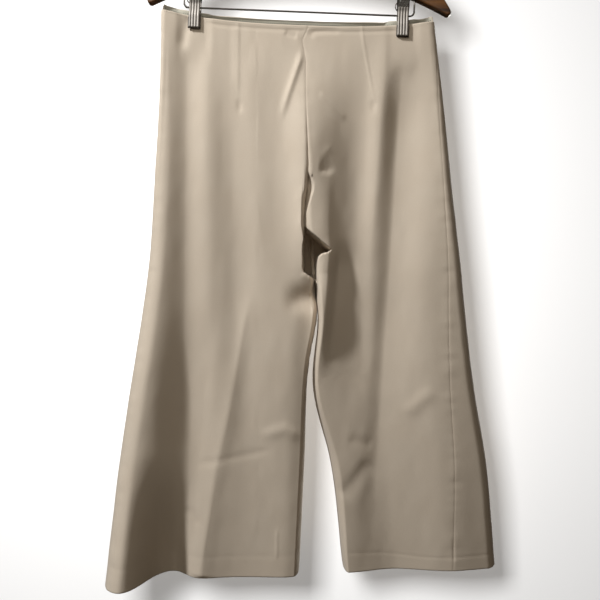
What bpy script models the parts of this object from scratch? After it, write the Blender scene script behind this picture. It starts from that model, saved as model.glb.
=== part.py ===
"""Wide-legged culottes hanging by their waist from two clips on a wooden hanger.

Metres, +Z up. The origin is the inside of the hook's top, where a rail carries it. The front faces -Y,
and left and right are the wearer's, so the right leg is at -X. Each leg is a ring of cloth at every
height, from the waist (drop 0) to the hem (drop 1). Above the crotch the two rings are cut off where
they meet, at the centre seam. Folds are ridges and troughs that run down the rings.
"""

import math

import bmesh
import bpy
import numpy as np
from mathutils import Vector

MM = 0.001

# Cloth
WALL = 1.2 * MM
SEAM_GAP = 0.3 * MM
CLEARANCE = 0.3 * MM  # between a panel and what lies on it
GARMENT_X = -6.0 * MM  # the garment's middle
WAIST_Z = -168.0 * MM  # the front waist in the garment's middle
WAIST_TILT = -0.0404  # its rise for each metre towards +X, because the hanger hangs askew
WAIST_LIFT = 14.8 * MM  # how far its ends curve up
WAIST_HALF = 200.0 * MM
BACK_RISE = 11.5 * MM  # the back waist stands this much above the front one
HEM_Z = -959.0 * MM
CLIP_X = 149.5 * MM  # from the garment's middle to each clip
CLIP_GRIP = 22.0 * MM  # how wide and, as a drop, how far down the pinch flattens the cloth
CLIP_GRIP_DROP = 0.075
PINCHED_HALF = 3.0 * MM  # half the thickness of the pinched cloth, tapes included
CLIP_DIP = 0.3  # the clips hold the back edge down by this share of its rise
CLIP_DIP_REACH = 32.0 * MM
CROTCH_DROP = 0.45
CROTCH_CURVE_DROP = 0.17  # where the centre seam starts to curve in towards the crotch

# What is sewn inside the cloth
TAPE_HEIGHT = 8.0 * MM
TAPE_WALL = 1.0 * MM
TAPE_SHORT = 5.0 * MM  # each end of a waist tape stops this far from the side seam
HEM_HEIGHT = 26.0 * MM
HEM_WALL = 1.0 * MM

# Centre seam above the crotch, in millimetres. y grows away from the viewer.
SEAM_COLUMNS = ("drop", "x", "y", "half_depth")
CENTRE_SEAM = (
    (0.00, 12, 3, 7),
    (0.14, 11, 7, 12),
    (0.28, 14, 15, 16),
    (0.45, 20, 26, 13),
)

# Cross-sections of each leg in millimetres.
SECTION_COLUMNS = (
    "drop", "outer_x", "outer_y", "mid_y", "half_depth", "outer_turn", "inner_x", "inner_y", "inner_turn",
)
RIGHT_SECTIONS = (
    (0.00, -198.0, -1, 3, 7, 9, 12, 3, 13),
    (0.14, -199.5, -8, 8, 12, 16, 11, 6, 13),
    (0.32, -207.5, -13, 17, 22, 24, 16, 17, 10),
    (0.45, -215.5, -16, 23, 28, 27, 20, 26, 9),
    (0.52, -223.0, -17, 26, 31, 29, 24, 26, 18),
    (0.61, -234.0, -18, 30, 35, 31, 15, 28, 22),
    (0.80, -256.0, -21, 38, 40, 31, 8, 34, 18),
    (1.00, -272.0, -24, 45, 45, 32, 0, 40, 13),
)
LEFT_SECTIONS = (
    (0.00, 195.0, 7, 3, 7, 12, 12, 3, 13),
    (0.14, 209.0, 12, 8, 12, 30, 11, 6, 13),
    (0.32, 226.0, 22, 17, 22, 42, 16, 17, 10),
    (0.45, 239.0, 32, 23, 28, 46, 20, 26, 9),
    (0.52, 245.0, 38, 28, 30, 48, 27, 27, 16),
    (0.66, 260.0, 50, 37, 34, 51, 21, 36, 20),
    (0.80, 280.0, 61, 47, 37, 54, 47, 42, 16),
    (1.00, 297.5, 80, 60, 40, 56, 66, 46, 13),
)
SECTIONS = {"right": RIGHT_SECTIONS, "left": LEFT_SECTIONS}

# Folds, in millimetres. x_waist and x_hem place the fold's line at the two ends of the leg, beyond where
# it shows too. It grows from drop start to full, and dies away from fade to end. Height is outwards, so a
# trough's is negative. The two widths are of its flanks towards -X and +X. Sharpness 1 is a pressed crease.
FOLD_COLUMNS = (
    "name", "x_waist", "x_hem", "start", "full", "fade", "end",
    "height", "low_width", "high_width", "sharpness",
)
NEVER = 9
RIGHT_FRONT_FOLDS = (
    ("trough below the clip", -164, -168, -0.06, 0.12, 0.40, 0.90, -17, 25, 11, 1.4),
    ("side trough", -186, -197, 0.05, 1.00, NEVER, NEVER + 1, -50, 19, 26, 2.4),
    ("fold below the clip", -137, -122, -0.10, 0.25, 0.45, 0.80, 6, 16, 20, 2.0),
    ("thigh hollow", -118, -80, 0.02, 0.30, 0.60, 0.90, -7, 20, 26, 2.0),
    ("dart ridge", -86, -62, 0.00, 0.12, 0.25, 0.45, 4, 20, 18, 2.0),
    ("lap hollow", -46, -44, 0.00, 0.15, 0.25, 0.45, -6, 16, 16, 2.0),
    ("ridge beside the seam", -7, -2, 0.02, 0.30, 0.48, 0.68, 20, 38, 15, 2.8),
    ("pressed crease", 9, -143, 0.30, 0.90, NEVER, NEVER + 1, 8, 60, 70, 1.2),
    ("inner leg roll", -26, -23, 0.40, 0.60, NEVER, NEVER + 1, 8, 44, 22, 2.0),
)
LEFT_FRONT_FOLDS = (
    ("ridge beside the seam", 28, 38, 0.03, 0.28, 0.50, 0.72, 15, 9, 16, 2.8),
    ("lap hollow", 68, 68, 0.02, 0.48, 0.54, 0.80, -30, 34, 38, 2.0),
    ("fold beside the clip", 120, 60, 0.00, 0.15, 0.30, 0.60, 7, 16, 11, 2.0),
    ("trough below the clip", 143, 82, -0.06, 0.12, 0.28, 0.78, -15, 26, 12, 1.5),
    ("side roll", 160, 222, -0.06, 0.60, NEVER, NEVER + 1, 14, 32, 40, 2.0),
    ("hem hollow", 120, 180, 0.45, 1.00, NEVER, NEVER + 1, -30, 46, 30, 2.0),
)
RIGHT_BACK_FOLDS = (
    ("back side roll", -150, -215, 0.00, 1.00, NEVER, NEVER + 1, 4, 34, 32, 2.0),
    ("back trough", -105, -140, 0.02, 1.00, NEVER, NEVER + 1, -7, 30, 32, 2.0),
    ("back calf roll", -62, -72, 0.05, 1.00, NEVER, NEVER + 1, 6, 30, 32, 2.0),
)
LEFT_BACK_FOLDS = (
    ("back side trough", 150, 236, 0.02, 1.00, NEVER, NEVER + 1, -47, 25, 27, 2.0),
    ("back calf roll", 104, 182, 0.02, 1.00, NEVER, NEVER + 1, 44, 26, 28, 2.0),
    ("back trough", 60, 128, 0.08, 1.00, NEVER, NEVER + 1, -47, 25, 27, 2.0),
    ("back inner roll", 36, 86, 0.46, 1.00, NEVER, NEVER + 1, 14, 18, 20, 2.0),
)
FOLDS = {
    ("right", "front"): RIGHT_FRONT_FOLDS,
    ("right", "back"): RIGHT_BACK_FOLDS,
    ("left", "front"): LEFT_FRONT_FOLDS,
    ("left", "back"): LEFT_BACK_FOLDS,
}
# How far the legs' twist brings each seam towards the front at the hem, from nothing at its upper end.
SIDE_SEAM_SHIFT = {"right": 44.0 * MM, "left": 102.0 * MM}
INSEAM_SHIFT = {"right": 34.0 * MM, "left": -124.0 * MM}

# Mesh density
SAMPLES = 700
BEND_LENGTH = 30.0 * MM  # a bend of one radian takes as many columns as this much flat cloth
FRONT_COLUMNS = 28
BACK_COLUMNS = 22
EVEN_ROWS = 18
ROW_MERGE = 0.014  # an even row nearer than this to another is left out
CLIP_FOOT_DROP = 0.034
TAPE_TOP_DROP = 0.001
TAPE_FOOT_DROP = TAPE_TOP_DROP + TAPE_HEIGHT / (WAIST_Z - HEM_Z)
HEM_TOP_DROP = 1 - HEM_HEIGHT / (WAIST_Z - HEM_Z)

# Hanger, in its own upright frame
HANGER_TILT = math.radians(2.3)
SPAN = 436.0 * MM
WOOD_THICK = 13.0 * MM
WOOD_EDGE = 2.5 * MM
ARM_TIP_Z = -145.6 * MM
TIP_HEIGHT = 7.0 * MM
LOWER_RISE = 50.0 * MM  # of the arms' lower edge, from tip to middle
LOWER_BOW = 2.2  # the higher, the later the edge turns down
UPPER_RISE = 74.0 * MM
UPPER_BOW = 3.6
NECK_TOP_Z = -58.0 * MM
NECK_HALF = 13.0 * MM
BAR_Z = -147.3 * MM
BAR_HALF = 165.5 * MM
BAR_BEND = 6.0 * MM
BAR_TOP_Z = -112.0 * MM
BAR_RADIUS = 1.3 * MM
HOOK_RADIUS = 2.0 * MM
HOOK_INSIDE = 19.0 * MM
HOOK_FOOT_Z = -84.0 * MM
STEM_TOP_Z = -52.0 * MM
FIT = 0.3 * MM

# Clips
JAW_WIDTH = 16.0 * MM
JAW_WALL = 1.2 * MM
FLUTES = 4
FLUTE_DEPTH = 0.7 * MM
PAD_WIDTH = 18.0 * MM
PAD_HEIGHT = 16.0 * MM
PAD_THICK = 2.4 * MM
PAD_GAP = 0.6 * MM
CLIP_FOOT_Z = -178.5 * MM
BARREL_RADIUS = 3.4 * MM
BARREL_LENGTH = 15.0 * MM
# A jaw's side view in millimetres: height, and how far out of the clip's middle its inner face is there.
JAW_PROFILE = (
    (-177.5, 6.3),
    (-160.0, 6.3),
    (-153.0, 4.8),
    (-143.0, 4.8),
    (-137.0, 6.5),
    (-119.0, 11.0),
)


def smoothstep(t):
    t = np.clip(t, 0.0, 1.0)
    return t * t * (3 - 2 * t)


def at_drop(rows, columns, column, drop):
    """A column of a table at this drop, on a smooth curve through its rows, in metres."""
    k = columns.index(column)
    xs = np.array([row[0] for row in rows])
    ys = np.array([row[k] for row in rows], float)
    slopes = np.gradient(ys, xs)
    i = int(np.clip(np.searchsorted(xs, drop) - 1, 0, len(xs) - 2))
    h = xs[i + 1] - xs[i]
    t = (drop - xs[i]) / h
    rise = t * t * (3 - 2 * t)
    value = ys[i] * (1 - rise) + ys[i + 1] * rise
    value += h * slopes[i] * t * (1 - t) ** 2 - h * slopes[i + 1] * t * t * (1 - t)
    return value * MM


def section(leg, drop):
    """One leg's sizes at this drop. Above the crotch both legs share the centre seam's place and depth."""
    rows = SECTIONS[leg]
    sizes = {name: at_drop(rows, SECTION_COLUMNS, name, drop) for name in SECTION_COLUMNS[1:]}
    sizes["cut"] = 0.0
    if drop < CROTCH_DROP:
        seam = {name: at_drop(CENTRE_SEAM, SEAM_COLUMNS, name, drop) for name in SEAM_COLUMNS[1:]}
        curved = max(0.0, (drop - CROTCH_CURVE_DROP) / (CROTCH_DROP - CROTCH_CURVE_DROP))
        depth = seam["half_depth"] * math.sqrt(1 - curved * curved)
        share = min(1.0, depth / sizes["half_depth"])
        sizes["inner_x"], sizes["inner_y"] = seam["x"], seam["y"]
        sizes["cut"] = sizes["inner_turn"] * (1 - math.sqrt(1 - share * share))
        sizes["seam_half"] = depth
    return sizes


def fold_height(fold, drop, x):
    """How far one fold lifts the cloth outwards at these x, in metres."""
    f = dict(zip(FOLD_COLUMNS, fold))
    grown = smoothstep((drop - f["start"]) / (f["full"] - f["start"]))
    left = 1 - smoothstep((drop - f["fade"]) / (f["end"] - f["fade"]))
    line = f["x_waist"] + (f["x_hem"] - f["x_waist"]) * drop
    off = x / MM - line
    width = np.where(off < 0, f["low_width"], f["high_width"])
    return f["height"] * MM * grown * left * np.exp(-np.abs(off / width) ** f["sharpness"])


def waist_z(x):
    """The front waist's height: a tilted line whose ends curve up."""
    return WAIST_Z + WAIST_TILT * x + WAIST_LIFT * np.abs(x / WAIST_HALF) ** 2.6


def layer(leg, side, drop):
    """The front or back layer's section: x, y, z from the leg's outer edge inwards."""
    sizes = section(leg, drop)
    outer, inner = sizes["outer_x"], sizes["inner_x"]
    p = np.linspace(0, 1, SAMPLES)
    share = (1 - np.cos(math.pi * p)) / 2
    x = outer + (inner - outer) * share
    from_outer = np.abs(x - outer)
    from_inner = np.abs(inner - x)
    turn_out = np.clip(from_outer / sizes["outer_turn"], 0, 1)
    turn_in = np.clip((from_inner + sizes["cut"]) / sizes["inner_turn"], 0, 1)
    half = sizes["half_depth"] * np.sqrt(1 - (1 - turn_out) ** 2) * np.sqrt(1 - (1 - turn_in) ** 2)
    mid = sizes["outer_y"] + (sizes["mid_y"] - sizes["outer_y"]) * smoothstep(share / 0.35)
    mid += (sizes["inner_y"] - sizes["mid_y"]) * smoothstep((share - 0.65) / 0.35)
    out = -1 if side == "front" else 1
    edge = smoothstep(from_outer / (10 * MM)) * smoothstep(from_inner / (9 * MM))
    lift = sum(fold_height(fold, drop, x) for fold in FOLDS[leg, side])
    y = mid + out * (half + edge * lift)
    for clip in (-CLIP_X, CLIP_X):
        grip = np.exp(-np.abs((x - clip) / CLIP_GRIP) ** 6) * math.exp(-((drop / CLIP_GRIP_DROP) ** 6))
        y += (out * PINCHED_HALF - y) * grip
    top_outer = section(leg, 0)["outer_x"]
    top_inner = section(leg, 0)["inner_x"]
    top = waist_z(top_outer + (top_inner - top_outer) * share)
    z = top + (HEM_Z - top) * drop
    if side == "back":
        held = sum(np.exp(-(((x - clip) / CLIP_DIP_REACH) ** 2)) for clip in (-CLIP_X, CLIP_X))
        rise = BACK_RISE * max(0.0, 1 - drop / CROTCH_DROP)
        z += rise * smoothstep(from_outer / (9 * MM)) * (1 - CLIP_DIP * held)
    return np.stack([x + GARMENT_X, y, z], axis=1)


def ring(leg, drop):
    """One leg's whole section, from its inner back edge round its outer edge to its inner front edge.

    With it comes how far along it each point is, which is 0 at the outer edge.
    """
    front, back = layer(leg, "front", drop), layer(leg, "back", drop)
    points = np.concatenate([back[::-1], front[1:]])
    steps = np.linalg.norm(np.diff(points[:, :2], axis=0), axis=1)
    along = np.concatenate([[0], np.cumsum(steps)])
    return points, along - along[SAMPLES - 1]


def thrice_round(points, along):
    """A closed ring gone round three times, so that a panel can run past the ring's two ends."""
    girth = along[-1] - along[0]
    points = np.concatenate([points[:-1], points[:-1], points])
    return points, np.concatenate([along[:-1] - girth, along[:-1], along + girth])


def outward(points, leg):
    """Level normals of a ring, pointing out of the leg."""
    step = np.gradient(points[:, :2], axis=0)
    step /= np.maximum(np.linalg.norm(step, axis=1), 1e-12)[:, None]
    turn = -1 if leg == "right" else 1
    return np.stack([-step[:, 1] * turn, step[:, 0] * turn, np.zeros(len(step))], axis=1)


def bend_weighted(points, along):
    """A measure along a ring that grows faster where the cloth bends."""
    step = np.diff(points[:, :2], axis=0)
    heading = np.unwrap(np.arctan2(step[:, 1], step[:, 0]))
    turned = np.concatenate([[0], np.abs(np.diff(heading)), [0]])
    turned = (turned[:-1] + turned[1:]) / 2
    return np.concatenate([[0], np.cumsum(np.diff(along) + BEND_LENGTH * turned)])


def strip(leg, drop, low, high, columns, inset):
    """Points across the cloth at this drop, from along=low to along=high, moved inwards by inset."""
    points, along = ring(leg, drop)
    if drop > CROTCH_DROP:
        points, along = thrice_round(points, along)
    normal = outward(points, leg)
    measure = bend_weighted(points, along)
    ends = np.interp([low, high], along, measure)
    places = np.interp(np.linspace(ends[0], ends[1], columns + 1), measure, along)
    picked = np.stack([np.interp(places, along, points[:, k]) for k in range(3)], axis=1)
    facing = np.stack([np.interp(places, along, normal[:, k]) for k in range(3)], axis=1)
    facing /= np.linalg.norm(facing, axis=1)[:, None]
    moved = picked - facing * inset
    if drop < CROTCH_DROP:
        # Above the crotch nothing crosses the centre seam.
        seam_x = section(leg, drop)["inner_x"] + GARMENT_X
        side = -1 if leg == "right" else 1
        limit = seam_x + side * SEAM_GAP / 2
        moved[:, 0] = side * np.maximum(side * moved[:, 0], side * limit)
    return moved


def panel_ends(leg, side, drop):
    """Where a panel starts and stops along its ring, with half a seam gap at each end."""
    _, along = ring(leg, drop)
    half_gap = SEAM_GAP / 2
    side_seam = SIDE_SEAM_SHIFT[leg] * drop
    inseam = INSEAM_SHIFT[leg] * max(0.0, drop - CROTCH_DROP) / (1 - CROTCH_DROP)
    if side == "front":
        return side_seam + half_gap, along[-1] - inseam - half_gap
    return along[0] - inseam + half_gap, side_seam - half_gap


def panel_strip(leg, side, drop, inset):
    """One row of a panel, this deep in from its outer face, running from back to front round the leg."""
    low, high = panel_ends(leg, side, drop)
    columns = FRONT_COLUMNS if side == "front" else BACK_COLUMNS
    return strip(leg, drop, low, high, columns, inset)


def row_drops():
    """Even rows, with more at the waist tape, round the crotch and at the hem's turned edge."""
    near_crotch = [CROTCH_DROP + offset for offset in (-0.03, -0.008, 0.006, 0.03)]
    extra = [0.0, TAPE_FOOT_DROP, CLIP_FOOT_DROP, *near_crotch, HEM_TOP_DROP, 1.0]
    even = [d for d in np.linspace(0, 1, EVEN_ROWS + 1) if min(abs(d - e) for e in extra) > ROW_MERGE]
    return sorted([*even, *extra])


def material(name, colour, roughness, metallic=0.0):
    made = bpy.data.materials.new(name)
    made.use_nodes = True
    shader = made.node_tree.nodes["Principled BSDF"]
    shader.inputs["Base Color"].default_value = (*colour, 1)
    shader.inputs["Roughness"].default_value = roughness
    shader.inputs["Metallic"].default_value = metallic
    return made


def add_mesh(bm, name, look, collection):
    mesh = bpy.data.meshes.new(name)
    bm.to_mesh(mesh)
    bm.free()
    mesh.shade_smooth()
    mesh.materials.append(look)
    obj = bpy.data.objects.new(name, mesh)
    collection.objects.link(obj)
    return obj


def add_wall(outer, inner, name, look, collection):
    """A closed wall between two grids of points: a flat grid is extruded, then both layers are placed.

    Every square is split from its lowest row and column to its highest, and the rims from outer to inner, so
    that walls laid on each other or set edge to edge bend alike.
    """
    rows, columns = outer.shape[0] - 1, outer.shape[1] - 1
    bm = bmesh.new()
    bmesh.ops.create_grid(bm, x_segments=columns, y_segments=rows, size=1)
    made = bmesh.ops.extrude_face_region(bm, geom=bm.faces[:], use_keep_orig=True)
    copies = {item for item in made["geom"] if isinstance(item, bmesh.types.BMVert)}
    place = {}
    for vert in bm.verts:
        place[vert] = (round((vert.co.y + 1) / 2 * rows), round((vert.co.x + 1) / 2 * columns))
    for vert, spot in place.items():
        vert.co = Vector(inner[spot] if vert in copies else outer[spot])
    for face in bm.faces[:]:
        corners = sorted(face.verts, key=lambda vert: (place[vert], vert in copies))
        bmesh.utils.face_split(face, corners[0], corners[3])
    bmesh.ops.recalc_face_normals(bm, faces=bm.faces)
    return add_mesh(bm, name, look, collection)


def add_panel(leg, side, look, collection):
    drops = row_drops()
    outer = np.array([panel_strip(leg, side, drop, 0) for drop in drops])
    inner = np.array([panel_strip(leg, side, drop, WALL) for drop in drops])
    return add_wall(outer, inner, f"{side}_{leg}", look, collection)


def across_both(side, drop, inset):
    """One row right across the front or back, towards +X."""
    right = panel_strip("right", side, drop, inset)
    left = panel_strip("left", side, drop, inset)
    if side == "front":
        return np.concatenate([right, left[::-1]])
    return np.concatenate([right[::-1], left])


def add_tape(side, look, collection):
    """A narrow tape inside the waist's edge, across both legs and short of both side seams."""
    low = GARMENT_X + section("right", 0)["outer_x"] + TAPE_SHORT
    high = GARMENT_X + section("left", 0)["outer_x"] - TAPE_SHORT
    near, far = WALL + CLEARANCE, WALL + CLEARANCE + TAPE_WALL
    places = across_both(side, TAPE_TOP_DROP, near)[:, 0]
    kept = (places > low) & (places < high)
    drops = (TAPE_TOP_DROP, TAPE_FOOT_DROP)
    outer = np.array([across_both(side, drop, near)[kept] for drop in drops])
    inner = np.array([across_both(side, drop, far)[kept] for drop in drops])
    return add_wall(outer, inner, f"waist_tape_{side}", look, collection)


def add_hem(leg, look, collection):
    """The turned-up edge inside a leg: a low ring that follows the inside of both panels all round."""
    bm = bmesh.new()
    near, far = WALL + CLEARANCE, WALL + CLEARANCE + HEM_WALL
    foot, top, inner_top, inner_foot = [
        [bm.verts.new(point) for side in ("back", "front") for point in panel_strip(leg, side, drop, inset)[:-1]]
        for drop, inset in ((1.0, near), (HEM_TOP_DROP, near), (HEM_TOP_DROP, far), (1.0, far))
    ]
    for k in range(len(foot)):
        j = (k + 1) % len(foot)
        for high, low in ((top, foot), (inner_top, inner_foot)):
            bm.faces.new((high[k], high[j], low[j]))
            bm.faces.new((high[k], low[j], low[k]))
        bm.faces.new((top[k], top[j], inner_top[j], inner_top[k]))
        bm.faces.new((foot[k], foot[j], inner_foot[j], inner_foot[k]))
    bmesh.ops.recalc_face_normals(bm, faces=bm.faces)
    return add_mesh(bm, f"hem_{leg}", look, collection)


def add_box(name, size, centre, look, collection, parent=None, edge=0.0):
    bm = bmesh.new()
    bmesh.ops.create_cube(bm, size=1)
    bmesh.ops.scale(bm, vec=Vector(size), verts=bm.verts)
    if edge:
        bmesh.ops.bevel(bm, geom=bm.edges[:], offset=edge, segments=1, affect="EDGES")
    obj = add_mesh(bm, name, look, collection)
    obj.location = centre
    obj.parent = parent
    return obj


def add_wire(name, points, radius, look, collection, parent=None):
    curve = bpy.data.curves.new(name, "CURVE")
    curve.dimensions = "3D"
    curve.bevel_depth = radius
    curve.bevel_resolution = 2
    curve.use_fill_caps = True
    spline = curve.splines.new("POLY")
    spline.points.add(len(points) - 1)
    for point, place in zip(spline.points, points):
        point.co = (*place, 1)
    curve.materials.append(look)
    obj = bpy.data.objects.new(name, curve)
    obj.parent = parent
    collection.objects.link(obj)
    return obj


def arc(centre, radius, start, end, steps):
    """Points in the XZ plane round a centre, from one angle to another, in degrees from +X."""
    turns = np.radians(np.linspace(start, end, steps + 1))
    return [(centre[0] + radius * math.cos(a), 0.0, centre[1] + radius * math.sin(a)) for a in turns]


def hook_points():
    """From the foot in the wood, up the stem and over the rail. The inside of its top is the origin."""
    radius = HOOK_INSIDE + HOOK_RADIUS
    stem = [(0.0, 0.0, HOOK_FOOT_Z), (0.0, 0.0, STEM_TOP_Z), (3.0 * MM, 0.0, STEM_TOP_Z + 7 * MM)]
    return stem + arc((0.0, -HOOK_INSIDE), radius, -62, 200, 22)


def bar_points():
    """Down out of one arm, round a bend, along and up into the other arm."""
    left = arc((-BAR_HALF + BAR_BEND, BAR_Z + BAR_BEND), BAR_BEND, 180, 270, 5)
    right = arc((BAR_HALF - BAR_BEND, BAR_Z + BAR_BEND), BAR_BEND, 270, 360, 5)
    return [(-BAR_HALF, 0.0, BAR_TOP_Z), *left, *right, (BAR_HALF, 0.0, BAR_TOP_Z)]


def arm_outline():
    """Half of the hanger's outline: the lower edge, round the tip, and the upper edge back to the neck."""
    reach = SPAN / 2 - TIP_HEIGHT / 2
    shares = np.linspace(0, 1, 13)
    low = [(reach * s, ARM_TIP_Z + LOWER_RISE * (1 - s ** LOWER_BOW)) for s in shares]
    high = [(reach * s, ARM_TIP_Z + TIP_HEIGHT + UPPER_RISE * (1 - s ** UPPER_BOW)) for s in shares]
    radius = TIP_HEIGHT / 2
    turns = np.radians((-60, -25, 10, 45))
    tip = [(reach + radius * math.cos(a), ARM_TIP_Z + radius + radius * math.sin(a)) for a in turns]
    upper = [point for point in high[::-1] if point[0] > 1.5 * NECK_HALF]
    neck = [(NECK_HALF, high[0][1] + 3 * MM), (0.8 * NECK_HALF, NECK_TOP_Z)]
    return low + tip + upper + neck


def board(outline, thickness, edge):
    """A flat outline in the XZ plane as a board with rounded edges."""
    curve = bpy.data.curves.new("board", "CURVE")
    curve.dimensions = "2D"
    curve.fill_mode = "BOTH"
    curve.extrude = thickness / 2 - edge
    curve.bevel_depth = edge
    curve.offset = -edge
    curve.bevel_resolution = 1
    spline = curve.splines.new("POLY")
    spline.points.add(len(outline) - 1)
    spline.use_cyclic_u = True
    for point, (x, z) in zip(spline.points, outline):
        point.co = (x, z, 0, 1)
    guide = bpy.data.objects.new("board", curve)
    guide.rotation_euler = (math.pi / 2, 0, 0)
    bpy.context.scene.collection.objects.link(guide)
    bpy.context.view_layer.update()
    mesh = bpy.data.meshes.new_from_object(guide.evaluated_get(bpy.context.evaluated_depsgraph_get()))
    bm = bmesh.new()
    bm.from_mesh(mesh)
    bmesh.ops.transform(bm, matrix=guide.matrix_world, verts=bm.verts)
    bmesh.ops.remove_doubles(bm, verts=bm.verts, dist=0.01 * MM)
    bpy.data.objects.remove(guide, do_unlink=True)
    return bm


def drill(body, name, x, bottom, top, radius, collection):
    """An upright round hole in a body."""
    bm = bmesh.new()
    bmesh.ops.create_cone(
        bm, cap_ends=True, segments=12, radius1=radius, radius2=radius, depth=top - bottom
    )
    cutter = add_mesh(bm, name, body.data.materials[0], collection)
    cutter.location = (x, 0, (top + bottom) / 2)
    cutter.parent = body.parent
    cutter.hide_render = True
    cutter.display_type = "WIRE"
    cut = body.modifiers.new(name, "BOOLEAN")
    cut.object = cutter
    cut.operation = "DIFFERENCE"
    cut.solver = "EXACT"


def add_hanger_body(look, collection, cutters, parent):
    """Two arms in one board, drilled for the hook and for the bar's ends."""
    half = arm_outline()
    outline = half + [(-x, z) for x, z in half[::-1] if x > 0]
    body = add_mesh(board(outline, WOOD_THICK, WOOD_EDGE), "hanger_body", look, collection)
    body.data.set_sharp_from_angle(angle=math.radians(40))
    body.parent = parent
    past = 10 * MM
    drill(body, "hook_hole", 0, HOOK_FOOT_Z - FIT, NECK_TOP_Z + past, HOOK_RADIUS + FIT, cutters)
    for x, name in ((-BAR_HALF, "bar_hole_right"), (BAR_HALF, "bar_hole_left")):
        drill(body, name, x, ARM_TIP_Z - past, BAR_TOP_Z + FIT, BAR_RADIUS + FIT, cutters)
    return body


def add_jaw(name, x, facing, look, collection, parent):
    """A pressed plate with upright flutes, bent to its side view. facing is -1 for the front jaw."""
    heights = np.array([row[0] for row in JAW_PROFILE]) * MM
    outs = np.array([row[1] for row in JAW_PROFILE]) * MM
    across = np.linspace(-1, 1, 2 * FLUTES + 1)
    inner, outer = [], []
    flutes = FLUTE_DEPTH * (np.arange(len(across)) % 2)
    for z, out in zip(heights, outs):
        face = out + JAW_WALL + flutes
        inner.append([(x + JAW_WIDTH / 2 * a, facing * out, z) for a in across])
        outer.append([(x + JAW_WIDTH / 2 * a, facing * y, z) for a, y in zip(across, face)])
    jaw = add_wall(np.array(outer), np.array(inner), name, look, collection)
    jaw.data.shade_flat()
    jaw.parent = parent
    return jaw


def add_barrel(name, x, look, collection, parent):
    """The sleeve round the bar that the two jaws turn on: a turned profile."""
    mesh = bpy.data.meshes.new(name)
    inside = BAR_RADIUS + FIT
    half = BARREL_LENGTH / 2
    bm = bmesh.new()
    corners = ((BARREL_RADIUS, half), (BARREL_RADIUS, -half), (inside, -half), (inside, half))
    verts = [bm.verts.new((r, 0, z)) for r, z in corners]
    for a, b in zip(verts, verts[1:] + verts[:1]):
        bm.edges.new((a, b))
    bm.to_mesh(mesh)
    bm.free()
    mesh.materials.append(look)
    barrel = bpy.data.objects.new(name, mesh)
    collection.objects.link(barrel)
    screw = barrel.modifiers.new("Turn", "SCREW")
    screw.steps = 14
    screw.render_steps = 14
    screw.use_merge_vertices = True
    screw.merge_threshold = 0.0001
    barrel.location = (x, 0, BAR_Z)
    barrel.rotation_euler = (0, math.pi / 2, 0)
    barrel.parent = parent
    return barrel


def add_clip(side, x, chrome, rubber, collection, parent):
    add_jaw(f"clip_{side}_front_jaw", x, -1, chrome, collection, parent)
    add_jaw(f"clip_{side}_back_jaw", x, 1, chrome, collection, parent)
    add_barrel(f"clip_{side}_barrel", x, chrome, collection, parent)
    for facing, name in ((-1, "front"), (1, "back")):
        near = PINCHED_HALF + PAD_GAP
        centre = (x, facing * (near + PAD_THICK / 2), CLIP_FOOT_Z + PAD_HEIGHT / 2)
        size = (PAD_WIDTH, PAD_THICK, PAD_HEIGHT)
        add_box(f"clip_{side}_{name}_pad", size, centre, rubber, collection, parent, edge=0.6 * MM)


def main():
    for obj in list(bpy.data.objects):
        bpy.data.objects.remove(obj, do_unlink=True)
    culottes = bpy.data.collections.new("Culottes")
    cutters = bpy.data.collections.new("Cutters")
    for collection in (culottes, cutters):
        bpy.context.scene.collection.children.link(collection)
    cloth = material("Champagne crepe", (0.62, 0.53, 0.43), 0.8)
    tape = material("Grey-green tape", (0.33, 0.33, 0.27), 0.85)
    wood = material("Dark stained wood", (0.06, 0.025, 0.012), 0.35)
    steel = material("Dark steel wire", (0.12, 0.12, 0.12), 0.35, 1.0)
    chrome = material("Chrome", (0.72, 0.72, 0.72), 0.15, 1.0)
    rubber = material("Dark rubber", (0.03, 0.025, 0.02), 0.7)
    for leg in ("right", "left"):
        for side in ("front", "back"):
            add_panel(leg, side, cloth, culottes)
        add_hem(leg, cloth, culottes)
    for side in ("front", "back"):
        add_tape(side, tape, culottes)
    hanger = bpy.data.objects.new("Hanger", None)
    hanger.rotation_euler = (0, HANGER_TILT, 0)
    culottes.objects.link(hanger)
    add_hanger_body(wood, culottes, cutters, hanger)
    add_wire("hanger_hook", hook_points(), HOOK_RADIUS, chrome, culottes, hanger)
    add_wire("hanger_bar", bar_points(), BAR_RADIUS, steel, culottes, hanger)
    add_clip("right", -CLIP_X, chrome, rubber, culottes, hanger)
    add_clip("left", CLIP_X, chrome, rubber, culottes, hanger)


main()
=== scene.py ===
import math

import bmesh
import bpy
import numpy as np
from mathutils import Matrix, Vector


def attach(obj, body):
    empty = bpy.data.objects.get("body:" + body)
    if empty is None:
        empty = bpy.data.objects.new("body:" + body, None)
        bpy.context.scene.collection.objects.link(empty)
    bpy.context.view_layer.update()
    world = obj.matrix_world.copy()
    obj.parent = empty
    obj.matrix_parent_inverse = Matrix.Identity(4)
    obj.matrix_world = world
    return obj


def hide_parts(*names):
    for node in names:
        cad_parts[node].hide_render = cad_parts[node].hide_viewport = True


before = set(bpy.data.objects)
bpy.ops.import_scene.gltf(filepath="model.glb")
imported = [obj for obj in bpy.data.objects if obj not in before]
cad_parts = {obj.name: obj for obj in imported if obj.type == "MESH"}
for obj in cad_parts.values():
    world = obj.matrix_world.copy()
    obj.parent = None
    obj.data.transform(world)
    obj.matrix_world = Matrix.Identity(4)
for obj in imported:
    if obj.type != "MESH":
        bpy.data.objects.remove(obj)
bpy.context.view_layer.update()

mm = 0.001
scene = bpy.context.scene


# Small helpers for shader nodes, meshes and pieces


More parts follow.
